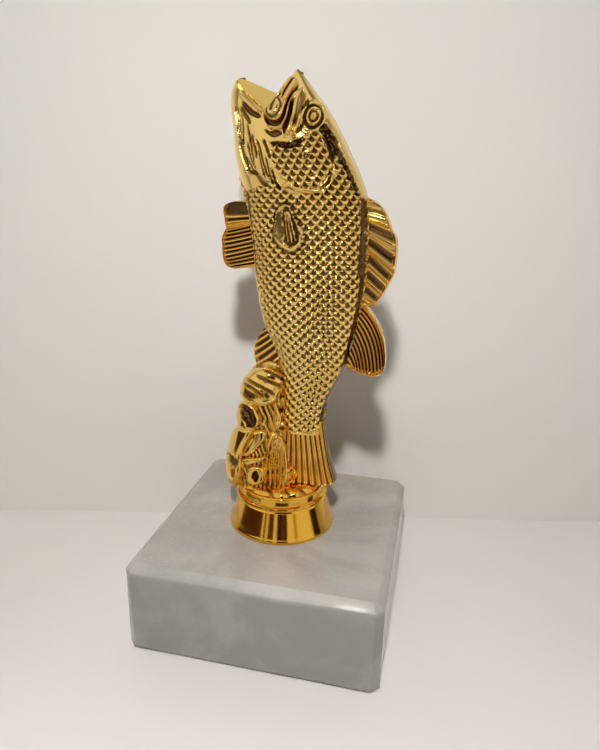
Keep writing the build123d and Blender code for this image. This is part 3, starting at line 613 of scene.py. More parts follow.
def ribbed(lines, thickness):
    """Shape of a fin from its ribs, each with a root, a middle and a tip that the fin bends through."""
    roots, middles, tips = (curve_through(points, steps=8) for points in zip(*lines))
    spread = np.linspace(0, 1, len(roots))

    def shape(across, up):
        ends = [np.stack([np.interp(across, spread, points[:, axis]) for axis in (0, 1)], -1)
                for points in (roots, middles, tips)]
        share = up[..., None]
        place = (ends[0] * (1 - share) * (1 - 2 * share) + ends[1] * 4 * share * (1 - share)
                 + ends[2] * share * (2 * share - 1))
        x, z = place[..., 0], place[..., 1]
        to_tip = (1 - up) * np.linalg.norm(ends[2] - ends[0], axis=-1)
        half, mark = thickness(x, z, across * (len(lines) - 1), up, to_tip)
        return np.stack((x, -half, z + MARBLE_TOP), -1), mark

    return shape


def tail_thickness(x, z, rib, up, to_tip):
    from_ray = np.abs(2 * ((rib + 0.5) % 1) - 1)
    crown = np.sqrt(np.clip(1 - (from_ray / TAIL_RAY_SHARE) ** 2, 0, 1))
    split = np.exp(-(from_ray / TAIL_SPLIT) ** 2)
    rise = TAIL_RAY_RISE * (crown - 0.15 * split)
    side = np.clip(np.minimum(rib, len(TAIL_LINES) - 1 - rib) / TAIL_EDGE, 0, 1) ** 0.5
    flare = TAIL_FLARE * step(0.45, 1.0, up)
    tip = np.sqrt(np.clip(to_tip / TAIL_TIP, 0, 1)) * 0.7 + 0.3
    end_bead = 0.5 * np.exp(-((to_tip - 0.7) / 0.45) ** 2) * crown
    half = (TAIL_HALF + rise + flare + end_bead) * tip * (0.2 + 0.8 * side)
    # Painted shade, with gathered lacquer, in the valleys and along the split of each ray.
    valley = np.maximum(step(0.76, 0.94, from_ray), 0.25 * split) * (1 - 0.3 * step(0.35, 1.0, up))
    # Painted shadow under the trunk's end, over the fan's top between its middle rays.
    shade = 0.8 * step(0.16, 0.04, up) * step(3.0, 5.0, x) * step(9.5, 8.0, x)
    # The outermost rays are painted darker too: painted shade.
    return half, np.clip(valley + shade + step(0.75, 0.4, side), 0, 1)


mould("tail_fan", 240, 110, ribbed(TAIL_LINES, tail_thickness))

# Foam at the foot. Under the splash and the tail a low wavy skirt of foam spreads over the collar's top,
# moulded in one with both.
FOAM_RADIUS = 13.2
FOAM_FOOT = 14.3
FOAM_HEIGHT = 2.1
FOAM_WAVES = 11
FOAM_BROW = 0.3


def foam_shape(across, up):
    angle = math.pi * across
    wave = np.cos(FOAM_WAVES * angle + 1.6 * np.sin(3 * angle) + 9 * up)
    radius = FOAM_RADIUS * (1 - 0.97 * up) + 0.2 * wave * step(0.3, 0.05, up)
    brow = (1 - (1 - np.clip(up / FOAM_BROW, 0, 1)) ** 2) ** 0.5
    swell = 0.92 + 0.12 * wave * step(0.5, 0.1, up)
    z = MARBLE_TOP + FOAM_FOOT + FOAM_HEIGHT * brow * swell
    # The wave troughs near the foam's foot are painted dark: painted shade.
    dark = 0.7 * step(-0.5, -0.95, wave) * step(0.4, 0.1, up)
    return np.stack((-radius * np.cos(angle), -radius * np.sin(angle), z), -1), dark


mould("foam", 200, 24, foam_shape)

# Trunk. Rows of scales lie like roof tiles from the gill cover down to the tail, and a smooth strip runs
# along the back and the belly beside the parting. The pectoral fin lies flat on them in its own raised rim.
BODY_SLICES = (
    (31.0, -1.6, 14.0, 3.3), (34.6, -1.0, 14.0, 3.8), (40.0, -0.3, 14.4, 4.5), (46.0, 0.2, 15.5, 5.4),
    (52.0, 0.0, 18.3, 6.5), (58.0, -1.0, 20.8, 7.7), (64.0, -3.4, 22.0, 8.7), (70.0, -6.3, 23.4, 9.6),
    (78.0, -8.0, 25.0, 10.7), (86.0, -9.0, 25.8, 11.3), (94.0, -9.6, 26.0, 11.5), (102.0, -10.9, 25.5, 11.6),
    (108.0, -12.1, 24.5, 11.6), (114.0, -13.8, 22.2, 11.4), (120.0, -14.9, 19.1, 10.8),
    (126.0, -15.4, 15.8, 9.6), (132.0, -16.2, 11.9, 7.6), (136.0, -16.0, 8.5, 5.8), (139.0, -14.9, 6.0, 3.9),
    (140.6, -13.9, 4.6, 2.8), (142.0, -13.2, 3.3, 1.6))
BODY_ROUNDNESS = 2.2
TRUNK_FOOT = 33.4
HEAD_FOOT = 108.6
SCALE_PITCH = 2.95
SCALE_ROW = 1.38
SCALE_CURVE = 1.5
SCALE_HEIGHT = 0.9
TILE_ARC = 0.9
TILE_SAG = 0.684


def scales(arc, z, pitch, row, curve):
    """Tiles with edges round towards the tail: the height of the one on top, and the mark of its pocket,
    where shade is painted dark.
    """
    above = np.zeros(arc.shape)
    side = np.zeros(arc.shape)
    open_still = np.ones(arc.shape, bool)
    for back in range(4):
        number = np.floor(z / row) - back
        shift = np.where(number % 2 == 0, 0.0, 0.5)
        offset = arc / pitch - shift
        sideways = 2 * (offset - np.round(offset))
        bend = (1 - np.sqrt(1 - TILE_ARC * sideways ** 2)) / TILE_SAG
        over_edge = z - number * row - curve * bend
        found = open_still & (over_edge >= 0)
        above = np.where(found, over_edge, above)
        side = np.where(found, sideways, side)
        open_still &= ~found
    share = above / row
    lip = np.exp(-((above - 0.28) / 0.2) ** 2)
    # The pocket under each tile's edge is marked dark: painted shade.
    pocket = step(0.55, 1.1, share)
    plate = 0.75 - 0.12 * share - 0.25 * side ** 2 + 0.25 * lip - 0.6 * pocket
    return plate * (0.35 + 0.65 * step(-0.02, 0.22, above)), pocket


THROAT_EDGE = ((-16.5, 115.2), (-12.1, 112.8), (-10.2, 109.6), (-5.5, 110.8), (-2.3, 110.9))
GILL_REAR = (
    (-0.9, 114.4), (2.3, 110.3), (5.5, 109.1), (9.7, 109.4), (13.4, 110.0), (14.4, 111.3), (15.6, 113.4),
    (16.3, 114.7))
NAPE = ((15.6, 117.4), (14.9, 119.6), (13.1, 122.1), (10.9, 125.8))
BACK_STRIP = (
    (14.2, 126.6), (15.6, 122.6), (18.3, 118.2), (21.3, 113.0), (23.4, 109.0), (24.6, 105.0), (24.9, 98.0),
    (24.9, 88.0), (24.2, 78.0), (22.2, 67.0), (19.9, 56.4), (17.4, 51.0), (15.3, 46.0), (13.6, 40.0),
    (13.3, 35.0))
BELLY_STRIP = (
    (-1.2, 34.4), (-0.2, 40.0), (0.4, 46.0), (0.2, 52.0), (-0.9, 58.5), (-4.6, 68.0), (-7.2, 80.0),
    (-8.6, 92.0), (-9.6, 100.0), (-12.4, 109.0), (-15.6, 114.0))
TRUNK = THROAT_EDGE[1:] + GILL_REAR + NAPE + BACK_STRIP + BELLY_STRIP
BELLY_GROOVE = ((-9.6, 109.4), (-9.4, 104.0), (-8.9, 98.0), (-8.2, 92.0), (-7.9, 87.0), (-7.4, 84.0))
FIN_ROOT = ((23.9, 108.0), (24.3, 104.0), (24.5, 100.0), (24.5, 96.0), (24.4, 92.0), (24.3, 86.0))
BACK_GROOVE_DEPTH = 0.6
PECTORAL = (
    (2.6, 106.2), (4.1, 106.0), (5.6, 103.3), (7.4, 100.0), (8.6, 97.8), (8.5, 96.4), (7.5, 94.8),
    (6.0, 93.4), (4.2, 93.2), (2.1, 94.1), (0.4, 95.6), (-0.4, 97.3), (-0.3, 98.8), (0.1, 101.6),
    (0.4, 104.0), (1.5, 105.5))
PECTORAL_HOLLOW = (
    (2.8, 105.2), (2.3, 102.4), (2.9, 100.1), (3.2, 97.6), (2.6, 96.2), (3.6, 95.0), (5.4, 94.8),
    (6.8, 95.8), (7.1, 97.2), (6.7, 99.1), (5.6, 102.1), (4.1, 105.0))
PECTORAL_RAYS = (
    ((2.9, 104.6), (3.4, 101.2), (4.2, 95.2)), ((3.4, 104.8), (4.2, 101.2), (5.3, 95.3)),
    ((3.9, 104.6), (5.0, 101.2), (6.4, 95.8)))


def scaly(x, z, arc):
    """Relief and pockets of the trunk's scales, with the groove that parts them from the back strip and the
    grooves along the belly and the back fin's root. Pockets and grooves are painted dark: painted shade.
    """
    trunk = step(0.0, 0.5, inside(x, z, TRUNK, steps=5))
    tile, pocket = scales(arc, z, SCALE_PITCH, SCALE_ROW, SCALE_CURVE)
    height = SCALE_HEIGHT * (tile - 0.5) * trunk
    mark = trunk * pocket
    for line, width in ((BACK_STRIP[4:], 1.1), (BELLY_GROOVE, 1.1), (FIN_ROOT, 1.2)):
        groove = bead(x, z, line, width + 0.9 * tile, height=1.0, taper=0.05)
        height -= BACK_GROOVE_DEPTH * groove
        mark += groove
    return height, mark


def parting_line_and_shade(x, base):
    """Dark band on the back beside the parting: partly the joint of the halves, partly painted shade at the
    fins' roots.
    """
    return step(1.0, 0.5, -base[..., 1]) * step(2.0, 3.0, x)


def trunk_relief(x, z, arc, base):
    height, mark = scaly(x, z, arc)
    mark += parting_line_and_shade(x, base)
    fin = inside(x, z, PECTORAL)
    on_fin = step(-0.2, 0.25, fin)
    hollow = patch(x, z, PECTORAL_HOLLOW, edge=0.4)
    leaf = 0.75 - 0.65 * hollow + 0.15 * np.exp(-((fin - 0.4) / 0.3) ** 2)
    # The fin's hollow is painted dark between its rays: painted shade. A dark ring just outside its outline
    # is a painted shadow under its rim.
    dark = hollow.copy()
    for line in PECTORAL_RAYS:
        ray = bead(x, z, line, width=0.8, height=1.0, taper=0.08)
        leaf += 0.8 * ray
        dark *= 1 - ray
    height = height * (1 - on_fin) + leaf * on_fin
    mark = mark * (1 - on_fin) + dark * on_fin + 0.8 * np.exp(-((fin + 0.4) / 0.3) ** 2)
    return height, np.clip(mark, 0, 1)


trunk_form = half_form(BODY_SLICES, BODY_ROUNDNESS, TRUNK_FOOT, ((0, HEAD_FOOT), (1, HEAD_FOOT)))
mould("trunk", 200, 440, carved(trunk_form, trunk_relief))

# Head. The bass gapes upward, with a thin flat web across the corner of its mouth. Lips, jaw plates, eye,
# folds of the throat and the big scales of its cheek stand in crisp relief. The grooves between them are
# painted dark, partly as gathered lacquer and partly as painted shade.
MOUTH_RIM = (
    (0.0, 139.2), (0.06, 139.6), (0.14, 139.3), (0.22, 138.8), (0.3, 138.1), (0.38, 137.4), (0.45, 136.6),
    (0.53, 135.9), (0.6, 135.7), (0.64, 136.0), (0.69, 136.8), (0.75, 137.8), (0.8, 138.8), (0.87, 140.4),
    (0.98, 141.8), (1.0, 142.0))
CHEEK_PITCH = 2.55
CHEEK_ROW = 1.5
CHEEK_CURVE = 1.5
CHEEK = (
    (-1.4, 122.0), (2.1, 122.4), (5.4, 123.4), (8.9, 125.0), (10.9, 125.6), (12.1, 123.8), (14.0, 120.7),
    (15.3, 117.6), (15.9, 114.6), (15.0, 112.2), (12.9, 110.6), (9.9, 110.2), (6.0, 110.8), (2.9, 112.2),
    (0.6, 114.6), (-1.2, 117.8))
CHEEK_REAR = ((1.6, 109.8), (3.2, 111.3), (6.0, 110.3), (9.9, 109.8), (13.2, 110.2), (15.6, 112.6))
CHEEK_PLATES = (
    ((8.0, 120.5), (9.8, 119.6), (8.5, 117.8), (7.2, 118.6)),
    ((12.4, 110.4), (13.7, 112.7), (15.1, 114.4), (15.7, 113.2), (14.8, 111.2), (13.3, 110.0)))
PITS = (
    ((-3.5, 125.6), (-1.7, 125.2), (0.5, 125.3), (1.2, 124.6), (-0.8, 123.8), (-2.6, 124.6)),
    ((-1.9, 122.3), (0.7, 122.6), (3.8, 122.4), (5.7, 123.4), (7.0, 122.8), (5.8, 121.6), (3.4, 120.9),
        (0.5, 121.4)))
NAPE_SCAR = (
    (11.2, 126.0), (12.6, 127.6), (13.7, 126.4), (14.7, 125.2), (15.8, 123.8), (16.6, 121.8), (17.6, 120.0),
    (18.6, 118.2), (20.2, 115.4), (21.8, 112.0), (23.0, 109.0), (22.0, 109.2), (20.4, 112.4), (18.4, 115.8),
    (16.8, 118.6), (15.6, 119.2), (15.6, 117.2), (14.8, 118.4), (14.0, 120.8), (13.2, 122.2), (12.8, 123.8))
WEB = (
    (-15.0, 140.0), (-12.6, 136.6), (-11.6, 135.8), (-9.8, 134.4), (-7.7, 132.5), (-6.0, 131.2),
    (-4.6, 130.4), (-2.9, 131.6), (-1.4, 133.7), (-0.1, 135.8), (0.2, 137.2), (-2.0, 141.0), (-9.0, 142.5))
WEB_PLACE = -1.0
JAW_PLATE = (
    (2.4, 139.3), (3.9, 138.4), (4.1, 137.6), (3.4, 135.9), (2.4, 133.8), (1.6, 131.4), (1.1, 129.2),
    (-0.2, 127.9), (-1.9, 127.9), (-3.1, 128.8), (-4.3, 130.3), (-2.9, 131.7), (-1.4, 133.8), (-0.1, 135.9),
    (1.0, 137.8))
JAW_LENS = (
    (-0.5, 133.2), (0.5, 131.8), (0.1, 129.8), (-0.9, 128.7), (-2.2, 128.9), (-3.0, 130.0), (-2.6, 131.6),
    (-1.6, 132.7))
SEAM_NIBS = ((-13.4, 139.5), (-12.6, 139.6), (3.4, 141.3), (4.2, 140.9))
SEAM_NIB_RADIUS = 0.55
SEAM_NIB_SHAPE = (1.25, 1.5, 0.8, 1)
SEAM_NIB_MARK = 0.6
NOSTRIL = ((7.4, 133.9), (7.8, 132.5), (6.9, 131.7), (6.2, 130.9), (6.1, 131.7), (6.7, 132.8))
THROAT_FOLDS = (
    (0.7, -0.6, 1.0, ((-13.4, 132.9), (-13.3, 130.6), (-12.8, 127.9), (-12.4, 125.2), (-11.6, 122.6))),
    (1.7, -0.9, 1.0, ((-11.8, 123.2), (-10.8, 119.9), (-9.8, 117.5), (-8.8, 115.4), (-8.2, 113.5))),
    (1.1, -0.8, 1.0, ((-8.5, 114.6), (-6.1, 114.1), (-5.1, 112.7), (-3.8, 111.4), (-2.0, 110.9))),
    (1.3, -0.8, 0.9, ((-11.8, 131.8), (-10.7, 130.4), (-9.3, 128.8), (-8.2, 127.2))),
    (0.7, -0.6, 0.9, ((-11.4, 130.2), (-10.6, 127.3), (-10.5, 124.4), (-10.1, 120.9))),
    (0.8, -0.7, 0.9, ((-9.2, 127.2), (-8.4, 124.1), (-7.7, 121.2), (-7.3, 118.8))),
    (0.9, -0.7, 1.0, ((-7.5, 124.6), (-7.1, 122.5), (-6.3, 120.4), (-6.0, 118.0))),
    (0.8, -0.6, 0.9, ((-6.1, 123.3), (-5.1, 121.2), (-4.4, 119.1), (-3.8, 117.0), (-2.9, 114.6),
        (-1.9, 112.5))),
    (0.9, -0.7, 1.0, ((-4.0, 123.3), (-3.0, 121.2), (-2.3, 119.6), (-1.7, 118.1))),
    (0.7, -0.6, 0.9, ((-1.4, 115.7), (-0.7, 113.9), (0.2, 111.8), (1.4, 109.7))),
    (0.7, -0.6, 0.9, ((-9.4, 118.6), (-8.0, 116.7), (-7.0, 115.1), (-5.4, 114.1))),
    (0.7, -0.5, 0.9, ((-8.9, 122.6), (-8.2, 119.4), (-6.9, 116.6), (-5.9, 115.0))),
    (0.5, -0.4, 0.8, ((-12.7, 132.2), (-12.2, 129.0), (-11.8, 125.6), (-11.1, 121.8))),
    (0.5, -0.4, 0.8, ((-8.5, 126.0), (-8.0, 122.6), (-7.2, 119.4), (-6.5, 116.6))),
    (0.6, -0.4, 0.8, ((-5.4, 120.4), (-4.6, 117.2), (-3.8, 114.6), (-3.0, 112.6))),
    (0.6, -0.4, 0.9, ((-3.2, 118.8), (-2.4, 116.0), (-1.6, 113.4), (-0.6, 111.2))))
LOWER_LIP_LINES = (
    (1.4, -0.9, 1.0, ((-11.3, 133.2), (-9.8, 131.6), (-8.1, 130.2), (-6.5, 129.5), (-5.0, 129.0))),
    (1.3, 1.0, 0.0, ((-12.3, 135.2), (-10.3, 133.7), (-8.2, 132.0), (-6.4, 130.7), (-4.9, 129.9))))
UPPER_JAW_LINES = (
    (1.6, -1.2, 1.0, ((-4.2, 129.8), (-3.2, 128.5), (-1.9, 127.4), (-0.2, 127.4), (1.1, 128.7), (1.4, 130.8),
        (1.7, 132.6), (2.6, 134.5), (3.6, 136.4), (4.1, 137.8))),
    (1.2, 1.0, 0.0, ((-3.1, 127.0), (-1.2, 126.0), (0.9, 126.3), (2.1, 128.3), (2.6, 131.1), (3.1, 133.2),
        (3.9, 135.1), (4.8, 136.2))),
    (1.1, -1.0, 1.0, ((3.4, 134.0), (3.3, 131.9), (3.2, 130.0), (2.8, 128.2), (2.1, 126.4), (2.0, 124.6))),
    (1.3, 1.0, 0.0, ((5.6, 136.8), (4.7, 135.1), (4.4, 133.7), (4.2, 131.6), (4.1, 129.3), (3.6, 126.9),
        (2.9, 124.9), (2.1, 123.6))),
    (1.5, -0.5, 0.75, ((5.6, 136.3), (6.0, 134.3), (5.8, 132.2), (5.4, 130.3), (5.0, 128.5), (4.5, 126.4))),
    (1.0, 0.7, 0.0, ((5.8, 130.1), (5.6, 128.2), (5.2, 126.4), (4.4, 124.6))),
    (1.0, -0.8, 1.0, ((6.8, 129.9), (6.9, 127.5), (6.2, 126.0), (5.3, 124.9))))
JAW_PLATE_LINES = (
    (0.5, -0.3, 1.0, ((0.0, 136.0), (-1.3, 133.9), (-2.8, 131.8), (-4.4, 130.5))),
    (0.5, -0.4, 1.0, ((1.0, 136.0), (-0.5, 133.6), (-1.9, 132.1), (-3.4, 130.7))),
    (0.8, -0.5, 1.0, ((-0.9, 132.8), (-1.6, 131.4), (-1.9, 129.8))),
    (1.5, 0.7, 0.0, ((2.3, 139.0), (1.4, 137.5), (0.7, 136.0), (0.0, 134.4))),
    (0.5, -0.5, 0.8, ((3.0, 138.8), (2.0, 137.0), (1.2, 135.2), (0.4, 133.2))),
    (1.3, 0.6, 0.0, ((3.5, 138.3), (2.7, 136.6), (1.9, 134.6), (1.2, 132.6))))
EYE_PLACE = (9.3, 129.3)
EYE_SIZE = (2.1, 2.85)
EYE_PROFILE = (
    (0.0, 0.9), (0.2, 0.8), (0.34, 0.3), (0.44, -0.3), (0.54, -0.2), (0.66, 0.5), (0.78, 0.5), (0.9, 0.0),
    (1.0, -0.8), (1.12, -0.8), (1.24, 0.1), (1.36, 0.25), (1.6, 0.0))
EYE_MARKS = (
    (0.0, 0.0), (0.34, 0.1), (0.42, 1.0), (0.52, 0.9), (0.62, 0.0), (0.84, 0.1), (0.94, 1.0), (1.14, 1.0),
    (1.24, 0.1), (1.6, 0.0))
EYE_RIM, EYE_MARK_END, EYE_END = 1.2, 1.24, 1.6
LINE_TAPER = 0.12
PIT_DEPTH = 0.7
SCAR_DEPTH = 0.9
NOSTRIL_DEPTH = 0.6
NIB_WELD = 0.002


def head_relief(x, z, arc, base):
    # Marks paint shade dark into the pockets, pits, scar, grooves, the lens's rim, the eye's rings and the
    # nostril.
    height, mark = scaly(x, z, arc)
    mark += parting_line_and_shade(x, base)
    cheek = step(0.0, 0.4, inside(x, z, CHEEK))
    tile, pocket = scales(arc + 0.4, z, CHEEK_PITCH, CHEEK_ROW, CHEEK_CURVE)
    height += SCALE_HEIGHT * (tile - 0.5) * cheek
    mark += pocket * cheek
    height += bead(x, z, CHEEK_REAR, width=1.3, height=0.6, taper=0.1)
    for outline in CHEEK_PLATES:
        plate = patch(x, z, outline, edge=0.4)
        height += (0.4 - height) * plate
        mark *= 1 - plate
    for outline in PITS:
        pit = patch(x, z, outline, edge=0.5)
        height -= PIT_DEPTH * pit
        mark += pit
    scar = patch(x, z, NAPE_SCAR, edge=0.4)
    height -= SCAR_DEPTH * scar * (0.4 + tile)
    mark += scar * step(1.1, 0.6, tile)
    # A line has its width, rise, darkness and points, and the lines are cut one after the other. The darkness
    # is painted shade in the line's groove.
    for width, rise, dark, line in THROAT_FOLDS + LOWER_LIP_LINES + UPPER_JAW_LINES:
        share = bead(x, z, line, width, height=1.0, taper=LINE_TAPER)
        height = height * (1 - share * (rise > 0)) + rise * share
        mark = np.maximum(mark * (1 - share * (rise > 0)), dark * share)
    plate = pillow(x, z, JAW_PLATE, height=1.3, reach=0.7)
    mark *= plate <= 0
    height = np.where(plate > 0, plate, height)
    height += pillow(x, z, JAW_LENS, height=0.7, reach=0.8)
    lens = inside(x, z, JAW_LENS)
    mark += np.exp(-((lens + 0.1) / 0.3) ** 2)
    for width, rise, dark, line in JAW_PLATE_LINES:
        share = bead(x, z, line, width, height=1.0, taper=LINE_TAPER)
        height += rise * share
        mark = np.maximum(mark * (1 - share * (rise > 0)), dark * share)
    ring = np.hypot((x - EYE_PLACE[0]) / EYE_SIZE[0], (z - EYE_PLACE[1]) / EYE_SIZE[1])
    around = height * step(EYE_RIM, EYE_END, ring)
    height = np.where(ring < EYE_END, np.interp(ring, *zip(*EYE_PROFILE)) + around, height)
    mark = np.where(ring < EYE_MARK_END, np.interp(ring, *zip(*EYE_MARKS)), mark)
    pit = patch(x, z, NOSTRIL, edge=0.4)
    return height - NOSTRIL_DEPTH * pit, np.clip(mark + pit, 0, 1)


def head_shape(across, up):
    """The carved head, but flat and close to the parting where the web of its mouth is."""
    form = half_form(BODY_SLICES, BODY_ROUNDNESS, HEAD_FOOT, MOUTH_RIM)
    skin, mark = carved(form, head_relief)(across, up)
    base = form(across, up)
    web = step(-0.1, 0.1, inside(base[..., 0], base[..., 2], WEB, steps=1))
    flat = base * (1, 0, 1) + (0, WEB_PLACE, MARBLE_TOP)
    flat[..., 1] = np.maximum(flat[..., 1], base[..., 1])
    return skin * (1 - web[..., None]) + flat * web[..., None], mark * (1 - web)


mould("head", 230, 250, head_shape)
nibs = bmesh.new()
for nib_x, nib_z in SEAM_NIBS:
    place = Matrix.Translation((nib_x, 0, MARBLE_TOP + nib_z))
    bmesh.ops.create_icosphere(
        nibs, subdivisions=3, radius=SEAM_NIB_RADIUS, matrix=place @ Matrix.Diagonal(SEAM_NIB_SHAPE))
bmesh.ops.bisect_plane(nibs, geom=nibs.verts[:] + nibs.edges[:] + nibs.faces[:], plane_co=(0, 0, 0),
                       plane_no=(0, 1, 0), clear_outer=True)
bmesh.ops.holes_fill(nibs, edges=open_edges(nibs), sides=0)
bmesh.ops.remove_doubles(nibs, verts=nibs.verts, dist=NIB_WELD)
nib_mark = nibs.verts.layers.float.new("recess")
for vert in nibs.verts:
    vert[nib_mark] = SEAM_NIB_MARK
both_halves(nibs, "seam_nibs")

# Fins. They stand on the parting seam, at the back and the belly. Each is cast as thin skin between round
# ribs with a raised double rim.
SPINY_LINES = (
    ((24.4, 108.2), (24.9, 108.1), (25.4, 107.9)), ((24.5, 106.0), (27.0, 106.0), (29.6, 105.1)),
    ((25.0, 102.2), (28.6, 101.0), (32.3, 99.6)), ((25.3, 100.2), (29.4, 98.6), (33.7, 97.0)),
    ((25.4, 98.0), (29.6, 95.6), (34.2, 93.0)), ((25.5, 95.8), (29.6, 93.0), (34.0, 90.2)),
    ((25.5, 93.6), (29.4, 90.4), (33.8, 86.9)), ((25.5, 91.2), (29.2, 88.0), (33.0, 85.0)),
    ((25.5, 88.9), (28.7, 86.2), (32.2, 83.3)), ((25.4, 86.4), (28.4, 83.9), (31.3, 81.4)),
    ((25.2, 83.9), (27.9, 81.9), (30.5, 79.8)), ((25.0, 81.8), (27.2, 80.2), (29.5, 78.2)),
    ((24.8, 79.8), (26.7, 78.5), (28.7, 77.1)), ((24.4, 77.0), (25.6, 76.8), (27.0, 76.4)))
SPINES = (0.8, 2, 4, 6, 8, 10, 12)
SOFT_LINES = (
    ((24.6, 77.6), (30.9, 69.2), (32.6, 58.6)), ((24.4, 75.8), (30.0, 67.6), (32.0, 56.2)),
    ((24.0, 73.8), (28.9, 66.0), (30.8, 54.8)), ((23.6, 71.6), (27.6, 64.2), (29.2, 54.3)),
    ((23.0, 69.2), (26.2, 62.6), (27.6, 54.3)), ((22.5, 66.6), (24.9, 61.2), (26.0, 54.8)),
    ((21.9, 63.8), (23.7, 59.8), (24.6, 55.3)), ((21.2, 60.8), (22.6, 58.6), (23.2, 55.9)),
    ((20.3, 57.6), (21.0, 57.0), (21.6, 56.4)))
FRONT_PELVIC_LINES = (
    ((-11.2, 106.4), (-13.6, 106.3), (-15.8, 106.0)), ((-11.2, 105.2), (-14.9, 105.4), (-18.5, 105.0)),
    ((-11.0, 103.6), (-15.2, 103.6), (-19.2, 103.4)), ((-10.8, 102.0), (-15.0, 101.6), (-18.9, 101.4)),
    ((-10.6, 100.6), (-14.8, 100.2), (-18.7, 99.5)), ((-10.4, 99.4), (-14.6, 99.0), (-18.3, 98.1)))
REAR_PELVIC_LINES = (
    ((-10.4, 100.2), (-14.6, 99.2), (-18.3, 98.2)), ((-10.3, 98.8), (-14.9, 97.6), (-19.2, 96.7)),
    ((-10.2, 97.1), (-15.1, 95.9), (-20.0, 94.9)), ((-10.0, 95.3), (-15.0, 94.0), (-19.9, 93.0)),
    ((-9.9, 93.4), (-14.9, 92.1), (-19.9, 91.0)), ((-9.7, 91.6), (-14.8, 90.2), (-19.7, 89.1)),
    ((-9.5, 89.8), (-14.4, 88.5), (-19.2, 87.5)), ((-9.3, 88.0), (-13.6, 87.1), (-18.0, 86.4)),
    ((-9.0, 86.6), (-12.4, 86.2), (-15.8, 85.8)))
ANAL_LINES = (
    ((-5.4, 68.2), (-5.8, 68.0), (-6.2, 67.6)), ((-4.8, 67.4), (-6.6, 66.2), (-8.2, 64.8)),
    ((-4.0, 66.2), (-6.7, 64.2), (-9.3, 62.3)), ((-3.2, 64.6), (-6.5, 62.0), (-9.8, 59.8)),
    ((-2.4, 63.0), (-6.0, 60.0), (-9.6, 57.4)), ((-1.4, 61.2), (-5.2, 57.8), (-9.0, 55.2)),
    ((-0.2, 59.0), (-4.0, 55.6), (-8.0, 53.0)))
FRONT_PELVIC_RAYS = (0, 3, 4, 5)
FINE_GAP = 2 / 3
FINE_RAYS = [turn * FINE_GAP for turn in range(13)]
MEMBRANE_HALF = 0.5
RIB_RISE = 1.0
RIB_FOOT = 0.35
RIM_BEADS = ((0.45, 0.3, 1.0), (1.25, 0.25, 0.7))


def fin_thickness(ribs, gap, rib_width, groove=0.0, rim=0.5):
    """Hollow pockets between round ribs at the numbered places, a gap apart, and a raised double rim."""

    def thickness(x, z, place, up, to_tip):
        near = np.full(place.shape, 1e9)
        for number in ribs:
            near = np.minimum(near, np.abs(place - number) * 2 / gap)
        crown = np.sqrt(np.clip(1 - (near / rib_width) ** 2, 0, 1))
        flank = RIB_FOOT * np.clip((near - rib_width) / (1 - rib_width), 0, 1) ** 2
        rise = RIB_RISE * np.where(near < rib_width, RIB_FOOT + (1 - RIB_FOOT) * crown, RIB_FOOT - flank)
        rise -= groove * np.exp(-(near / (rib_width * 0.22)) ** 2)
        run = np.hypot(np.gradient(x, axis=1), np.gradient(z, axis=1)).cumsum(axis=1)
        to_side = np.minimum(run, run[:, -1:] - run)
        outer = rim * sum(
            part * np.exp(-((to_tip - inset) / width) ** 2) for inset, width, part in RIM_BEADS)
        outer = np.maximum(outer, rim * np.exp(-((to_side - 0.5) / 0.4) ** 2))
        half = MEMBRANE_HALF + np.maximum(rise, outer * 1.6)
        half = half * np.clip(to_tip / 0.3, 0.15, 1) ** 0.5
        # The pockets between the ribs are painted dark, away from the rim: painted shade.
        dark = step(rib_width * 0.7, rib_width * 1.5, near) * np.clip(1 - 2.5 * outer, 0, 1)
        return half, dark

    return thickness


for name, columns, rows, lines, thickness in (
    ("spiny_fin", 190, 60, SPINY_LINES, fin_thickness(SPINES, 2, 0.5, groove=0.8, rim=0.8)),
    ("soft_fin", 240, 70, SOFT_LINES, fin_thickness(FINE_RAYS, FINE_GAP, 0.55, groove=0.3, rim=0.8)),
    ("front_pelvic_fin", 80, 40, FRONT_PELVIC_LINES, fin_thickness(FRONT_PELVIC_RAYS, 1, 0.45, rim=0.9)),
    ("rear_pelvic_fin", 160, 40, REAR_PELVIC_LINES, fin_thickness(FINE_RAYS, FINE_GAP, 0.5, 0.2, rim=0.9)),
    ("anal_fin", 100, 40, ANAL_LINES, fin_thickness(range(7), 1, 0.5)),
):
    mould(name, columns, rows, ribbed(lines, thickness))

# The room. The trophy stands on a pale table close to a pale wall, with a lamp above the camera. The wall
# is painted on its front only. Glowing cards that nothing else sees paint reflections into the gilding: the
# dark room behind the camera, the lit table and the lamp's highlight.
WALL_TURN = math.radians(12.6)
WALL_OUT = 53.3
TABLE_EDGE = 560.0
TABLE_HALF = 2500.0
WALL_HALF = 1500.0
ROOM_HALF = 900.0
ROOM_DEPTH = 1600.0
ROOM_RADIUS = 2200.0
SHEEN_HEIGHT = 0.9
CARD_HEIGHT = 1.0
TABLE_GREY, TABLE_PALE = (0.80, 0.755, 0.725, 1), (0.83, 0.785, 0.755, 1)
WALL_GREY, WALL_PALE = (0.77, 0.745, 0.70, 1), (0.80, 0.775, 0.73, 1)
TABLE_REFLECTION_GREY, TABLE_REFLECTION_PALE = (0.60, 0.555, 0.51, 1), (0.66, 0.61, 0.56, 1)
ROOM_GREY, ROOM_PALE = (0.62, 0.59, 0.55, 1), (0.78, 0.745, 0.70, 1)
LAMP_PLACE = (42, -222, 288)
LAMP_AIM = (5, -80, 0)
LAMP_SIDE = 20.0
LAMP_WATTS = 0.96
LAMP_COLOUR = (1.0, 0.99, 0.975)
LAMP_FACE_HALF_ACROSS, LAMP_FACE_HALF_BACK, LAMP_FACE_HALF_UP = 15, 12, 9
LAMP_FACE_LIFT = 4
LAMP_HIGHLIGHT_GLOW = (22.0, 21.0, 19.0, 1)
